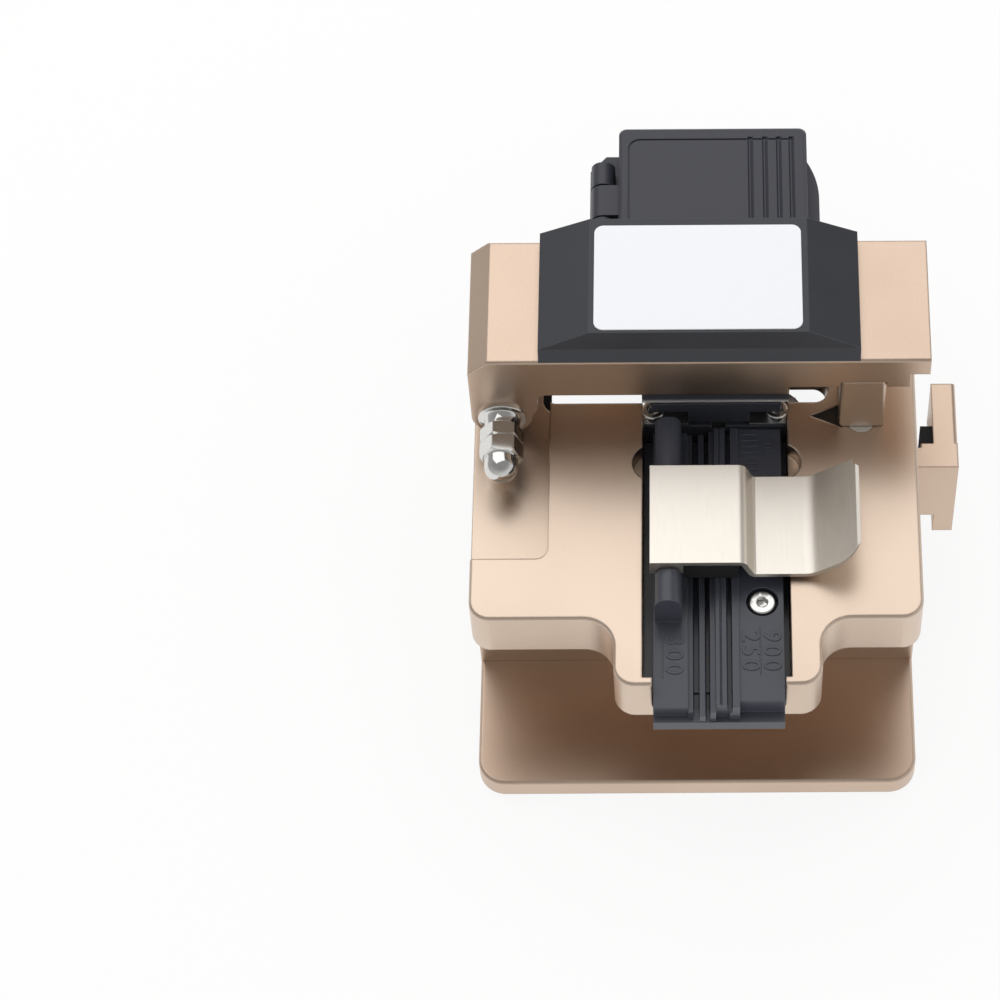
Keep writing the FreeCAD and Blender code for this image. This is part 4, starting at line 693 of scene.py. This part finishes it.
low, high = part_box("dome_nut")
rise = high.y - low.y
dome_r, hexagon_h, thread_depth = 2.4 * mm, 2.7 * mm, 2.2 * mm
shape = bmesh.new()
turned(shape, [(bore_r, thread_depth), (bore_r, 0.0)]
       + nut_rings(hexagon_h, dome_angle, 0.0)[1:5]
       + [(dome_r + 0.1 * mm, hexagon_h), (dome_r, hexagon_h + 0.15 * mm)]
       + arc_rings(0.0, rise - dome_r, dome_r, 0, 89, 20),
       (hinge_x, high.y, hinge_z), front, close=False)
dome_nut = add_piece("dome_nut_polished", shape, nickel, "arm", 20)
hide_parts("dome_nut")

# %% [markdown]
# ## Socket screws
# A cap screw is cold headed from wire: a rounded cylinder with a hexagon pressed into its top.
# The light that runs round the rounded edge is what makes a small screw look like a screw. The
# socket could be cut out, but it is simpler to let the skin of rings turn down into it, with a
# hexagon for a ring. All screws come from one function, and one piece can hold several of them.

# %% One socket screw
# both sizes of screw take the same key
key_size, key_angle, shank_r = 1.5 * mm, math.radians(15), 1.0 * mm


def socket_head(shape, foot, outward, head_r, head_h, shank_l):
    """A cap screw whose head stands on its foot point."""
    edge = 0.16 * head_r
    floor = head_h * 0.42
    mouth = key_size / 2 * 1.18
    drill_r, drill_depth = key_size * 0.2, key_size * 0.12
    turned(shape, [(shank_r * 0.8, -shank_l), (shank_r, -shank_l + 0.2 * shank_r), (shank_r, 0.0),
                   (head_r - edge * 0.4, 0.0), (head_r, edge * 0.4)]
           + arc_rings(head_r - edge, head_h - edge, edge, 0, 90, 5)
           + [(mouth, head_h), hexagon(key_size, head_h - 0.06 * mm, key_angle),
              hexagon(key_size, floor, key_angle), (drill_r, floor - drill_depth)],
           foot, outward, steps=72, close=False)


print("screws for a", key_size / mm, "mm key, with shanks of", 2 * shank_r / mm, "mm")

# %% The clamps' screws
low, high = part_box("clamp_screws")
clamp_head_r, clamp_head_h = 1.65 * mm, 1.3 * mm
shape = bmesh.new()
for x in (low.x + clamp_head_r, high.x - clamp_head_r):
    for y in (low.y + clamp_head_r, high.y - clamp_head_r):
        socket_head(shape, (x, y, high.z - clamp_head_h), up, clamp_head_r, clamp_head_h,
                    shank_l=high.z - clamp_head_h - low.z)
clamp_screws = add_piece("clamp_screws_headed", shape, screw_nickel, "frame", 25)
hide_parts("clamp_screws")

# %% [markdown]
# The frame's own screws stand in three places: one holds the fibre rail, three hold the guide rail
# in the body, and two lie level and hold the collector. Their places follow from the pieces that
# they hold, so the screws stay right if the CAD model changes a size.

# %% The frame's screws
rail_low, rail_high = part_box("fibre_rail")
lid_low, lid_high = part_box("holder_lid")
guide_low, guide_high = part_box("guide_rail")
bin_low, bin_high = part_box("collector_bin")
rail_mid = (rail_low.x + rail_high.x) / 2 + 0.25 * mm
guide_mid = (guide_low + guide_high) / 2
head_h = 2.0 * mm

shape = bmesh.new()
rail_screw = (rail_mid + 6.2 * mm, lid_low.y - 2.8 * mm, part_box("frame_screws")[1].z - head_h)
socket_head(shape, rail_screw, up, 1.9 * mm, head_h, shank_l=4.5 * mm)
for x in (guide_low.x + 4.0 * mm, guide_mid.x, guide_high.x - 4.0 * mm):
    guide_screw = (x, guide_mid.y, guide_high.z - 2.2 * mm)
    socket_head(shape, guide_screw, up, 1.85 * mm, head_h, shank_l=5.0 * mm)
handle_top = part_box("slide_handle")[1].z
for x in (bin_low.x + 4.0 * mm, bin_high.x - 4.0 * mm):
    bin_screw = (x, bin_low.y + 2.0 * mm, handle_top + 2.7 * mm)
    socket_head(shape, bin_screw, rear, 1.9 * mm, head_h, shank_l=5.5 * mm)
frame_screws = add_piece("frame_screws_headed", shape, screw_nickel, "frame", 25)
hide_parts("frame_screws")

# %% [markdown]
# ## Numerals and scale on the rail
# The rail is moulded with raised numerals, which say what coating each groove is for, in microns,
# and with a scale of millimetres beside the fibre. They are as black as the rail, so only their
# edges show, where they catch the light. They could be painted on with a mask, but raised ones
# need real edges. Text becomes a mesh, which then behaves as any piece.

# %% Raised text
# a capital's height, as a share of the font's size
cap_share = 0.7


def raised_text(words, height, spacing, place, reading, proud):
    """A bmesh of raised characters, centred on a place; reading is the direction of the line."""
    curve = bpy.data.curves.new("numeral_outline", "FONT")
    curve.body = words
    curve.size = height / cap_share
    curve.space_character = spacing
    curve.align_x = "CENTER"
    curve.align_y = "CENTER"
    curve.extrude = proud
    curve.bevel_depth = 0.04 * mm
    curve.offset = -0.02 * mm
    curve.resolution_u = 4
    text = bpy.data.objects.new("numeral_outline", curve)
    scene.collection.objects.link(text)
    bpy.context.view_layer.update()
    evaluated = text.evaluated_get(bpy.context.evaluated_depsgraph_get())
    mesh = bpy.data.meshes.new_from_object(evaluated)
    bpy.data.objects.remove(text)
    along = Vector(reading).normalized()
    turn = Matrix((along, up.cross(along), up)).transposed().to_4x4()
    mesh.transform(Matrix.Translation(place) @ turn)
    shape = bmesh.new()
    shape.from_mesh(mesh)
    bpy.data.meshes.remove(mesh)
    return shape


print("capitals are", cap_share, "of the font's size")

# %% Fine bars
bevel_share = 0.4


def fine_bar(shape, start, end, z, width, rise):
    """A low bar between two places on a level face, with a bevelled top and a buried foot."""
    start, end = Vector((*start, 0)), Vector((*end, 0))
    along = (end - start).normalized()
    side = up.cross(along)
    bevel = rise * bevel_share
    rows = []
    for h, half, inset in ((-rise * 0.5, width / 2, 0.0), (rise * 0.6, width / 2, 0.0),
                           (rise, width / 2 - bevel, bevel)):
        base = [start + along * inset - side * half, end - along * inset - side * half,
                end - along * inset + side * half, start + along * inset + side * half]
        rows.append([shape.verts.new(p + Vector((0, 0, z + h))) for p in base])
    skin(shape, rows)


print("a bar's top is bevelled by", bevel_share, "of its rise")

# %% Numerals
def merged(shapes):
    """Several bmeshes as one."""
    whole = bmesh.new()
    for shape in shapes:
        mesh = bpy.data.meshes.new("part")
        shape.to_mesh(mesh)
        shape.free()
        whole.from_mesh(mesh)
        bpy.data.meshes.remove(mesh)
    return whole


numeral_h, proud = 2.5 * mm, 0.1 * mm
line_half, line_beside, line_width = 3.7 * mm, 1.55 * mm, 0.2 * mm
marks = []
for words, from_mid in (("300", -6.3), ("250", 4.4), ("900", 7.4)):
    x, y = rail_mid + from_mid * mm, rail_low.y + 9.6 * mm
    z = top_of("fibre_rail", x, y)
    marks.append(raised_text(words, numeral_h, 1.28, Vector((x, y, z)), front, proud))
    line = bmesh.new()
    line_x = x - line_beside
    fine_bar(line, (line_x, y - line_half), (line_x, y + line_half), z, line_width, proud)
    marks.append(line)
add_piece("rail_numerals", merged(marks), rail_acetal, "frame", 40)

# %% [markdown]
# The scale's marks are fine bars with bevelled tops, as the lines beside the numerals are. They
# stand one millimetre apart between the lid and the clamps, and the second and seventh are
# numbered 5 and 10, since the scale begins under the lid.

# %% Scale
mark_l, mark_width, mark_rise = 2.5 * mm, 0.28 * mm, 0.14 * mm
scale_x = rail_mid + 3.4 * mm
first_y = lid_high.y + 0.9 * mm
scale_z = top_of("fibre_rail", scale_x + 1 * mm, first_y)
scale = bmesh.new()
for i in range(9):
    y = first_y + i * mm
    fine_bar(scale, (scale_x, y), (scale_x + mark_l, y), scale_z, mark_width, mark_rise)
fine = [scale]
for i, words in ((1, "5"), (6, "10")):
    place = Vector((scale_x + 3.9 * mm, first_y + i * mm, scale_z))
    fine.append(raised_text(words, 1.2 * mm, 1.1, place, front, 0.07 * mm))
add_piece("rail_scale", merged(fine), rail_acetal, "frame", 40)

# %% [markdown]
# ## The arrow's dark fill
# A shallow arrow is milled into the deck beside the foot, and points along the blade's stroke. A
# dark brown fill lies on its floor, a little below the deck, and makes the arrow's inside dark. A
# mask in the deck's own material could darken it, but a piece has a true edge and a gloss of its
# own. The fill's rim stands a touch higher than its middle, and its top is bumped in waves about
# half a millimetre wide.

# %% Dark fill in the arrow
# a dark brown fill that darkens the arrow's floor
dark_fill = moulded("dark_brown_fill_bumped", "#2E2724", "#26201E", "#453A35",
                 roughness=0.3, pebble=0.6 * mm, depth=0.004 * mm)
foot_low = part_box("arm_foot")[0]
deck_z = top_of("deck_frame", foot_low.x, foot_low.y - 3 * mm)
tip = Vector((foot_low.x - 4.1 * mm, foot_low.y + 1.9 * mm, 0))
arrow_l, arrow_half, arrow_depth = 4.6 * mm, 2.0 * mm, 0.7 * mm
outline = [tip, tip + Vector((arrow_l, -arrow_half, 0)), tip + Vector((arrow_l, arrow_half, 0))]
middle = sum(outline, Vector()) / 3
# each level is a share of the arrow's outline and a depth below the deck
levels = ((0.985, arrow_depth - 0.02 * mm), (0.985, 0.38 * mm), (0.93, 0.42 * mm), (0.80, 0.44 * mm))
shape = bmesh.new()
rows = []
for share, depth in levels:
    rows.append([shape.verts.new(middle + (p - middle) * share + Vector((0, 0, deck_z - depth)))
                 for p in outline])
skin(shape, rows)
add_piece("arrow_dark_fill", shape, dark_fill, "frame")

# %% [markdown]
# ## A dark strip at the window's end
# The blade's window is cut right up to the hinge's pocket. A dark rubber strip lines that end as
# painted shade, where the arm's knuckle shades the gap. It follows the window's milled corners, and
# lies just below the pocket's floor. A bent bar would need its corners trimmed. The same outline
# drawn at several heights, smaller at the top, gives the corners and the soft upper edge at once.

# %% Dark strip, painted shade
def rounded_strip(shape, corners, radius, levels):
    """A level strip with two rounded corners, drawn at several (height, inset) levels."""
    (x0, y0), (x1, y1) = corners
    steps = 8
    rows = []
    for z, inset in levels:
        outline = [(x1 - inset, y0 + inset), (x1 - inset, y1 - inset)]
        for turn, cx, cy in ((90, x0 + radius, y1 - radius), (180, x0 + radius, y0 + radius)):
            for i in range(steps + 1):
                angle = math.radians(turn + 90 * i / steps)
                outline.append((cx + (radius - inset) * math.cos(angle),
                                cy + (radius - inset) * math.sin(angle)))
        rows.append([shape.verts.new((x, y, z)) for x, y in outline])
    skin(shape, rows)


wheel_low, wheel_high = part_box("blade_wheel")
deck_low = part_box("deck_frame")[0]
window_y = (wheel_low.y + wheel_high.y) / 2
dark_strip_corners = ((deck_low.x + 9.8 * mm, window_y - 3.75 * mm),
                 (deck_low.x + 11.0 * mm, window_y + 4.05 * mm))
floor_z = top_of("deck_frame", deck_low.x + 9 * mm, window_y - 6 * mm)
dark_strip_levels = ((floor_z - 2.5 * mm, 0.0), (floor_z - 0.35 * mm, 0.0),
                (floor_z - 0.2 * mm, 0.06 * mm), (floor_z - 0.15 * mm, 0.2 * mm))
# a dark rubber strip that paints the shade under the arm's knuckle
shape = bmesh.new()
rounded_strip(shape, dark_strip_corners, 1.0 * mm, dark_strip_levels)
add_piece("window_dark_strip", shape, rubber, "frame")

# %% [markdown]
# ## Springs
# Three small springs in the arm press the clamps and the anvil down. Each is wound from round steel
# wire, and its end turns are closed, so that it stands square. A curve with a round bevel would
# twist at the ends, so the wire is a circle that travels along a helix, whose pitch is small at
# both ends. When a clamp gives way its spring gets shorter. Here the springs ride on the arm, at
# the length that the CAD gives them.

# %% A spring of round wire
wire_r, coil_turns = 0.19 * mm, 4.5
# the share of the rise that is slow in the end turns
eased = 0.35


def wound_spring(shape, centre, low_z, high_z, coil_r):
    """Adds a compression spring about a vertical axis, between two heights."""
    steps, sides = 24, 10
    rings = []
    count = int(coil_turns * steps)
    for i in range(count + 1):
        share = i / count
        angle = 2 * math.pi * coil_turns * share
        rise = (1 - math.cos(math.pi * share)) / 2 * eased + share * (1 - eased)
        outward = Vector((math.cos(angle), math.sin(angle), 0))
        middle = Vector((centre[0], centre[1], low_z + wire_r)) + outward * coil_r
        middle.z += (high_z - low_z - 2 * wire_r) * rise
        ring = []
        for k in range(sides):
            around = 2 * math.pi * k / sides
            point = middle + outward * wire_r * math.cos(around)
            ring.append(shape.verts.new(point + up * wire_r * math.sin(around)))
        rings.append(ring)
    skin(shape, rings)


print("springs of", round(2 * wire_r / mm, 2), "mm wire, with", coil_turns, "turns")

# %% The clamps' and the anvil's springs
def spring_piece(name, node):
    """Wound springs in place of a CAD node's; all of them stand in one row along Y."""
    low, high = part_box(node)
    coil_x = (low.x + high.x) / 2
    outer = (high.x - low.x) / 2
    shape = bmesh.new()
    for y in sorted({round(low.y + outer, 6), round(high.y - outer, 6)}):
        wound_spring(shape, (coil_x, y), low.z, high.z, coil_r=outer - 0.2 * mm)
    piece = add_piece(name, shape, spring_steel, "arm", 60)
    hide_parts(node)
    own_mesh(piece)


spring_piece("clamp_springs_wound", "clamp_springs")
spring_piece("anvil_spring_wound", "anvil_spring")

# %% [markdown]
# ## Rollers
# Two rubber rollers draw the offcut into the collector. Fine flutes along their length grip the
# glass. They are moulded, so each flute is a smooth wave, and the roller's ends are rounded. A
# bump could suggest the flutes, but their wavy outline shows at the ends, so they are real.

# %% Fluted rollers
def fluted_roller(name, node, body):
    """A rubber sleeve about X with fine flutes."""
    low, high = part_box(node)
    radius = (high.z - low.z) / 2
    length = high.x - low.x
    flutes, depth, rim, bore = 36, 0.09 * mm, 0.3 * mm, 1.02 * mm
    rim_angles = (0.4, 0.8, 1.2, math.pi / 2)

    def fluted(inset, height):
        def ring(angle):
            return radius - inset - depth * (0.5 - 0.5 * math.cos(flutes * angle)), height
        return ring

    rims = [(rim * (1 - math.sin(a)), rim * (1 - math.cos(a))) for a in rim_angles]
    rings = [(bore, 0.0), (radius - rim, 0.0)]
    rings += [fluted(inset, h) for inset, h in rims]
    rings += [fluted(inset, length - h) for inset, h in reversed(rims)]
    rings += [(radius - rim, length), (bore, length)]
    shape = bmesh.new()
    turned(shape, rings, (low.x, (low.y + high.y) / 2, (low.z + high.z) / 2), (1, 0, 0),
           steps=flutes * 8)
    roller = add_piece(name, shape, rubber, body, 50)
    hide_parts(node)


fluted_roller("drive_roller_fluted", "drive_roller", "drive_roller")
fluted_roller("pinch_roller_fluted", "pinch_roller", "pinch_roller")
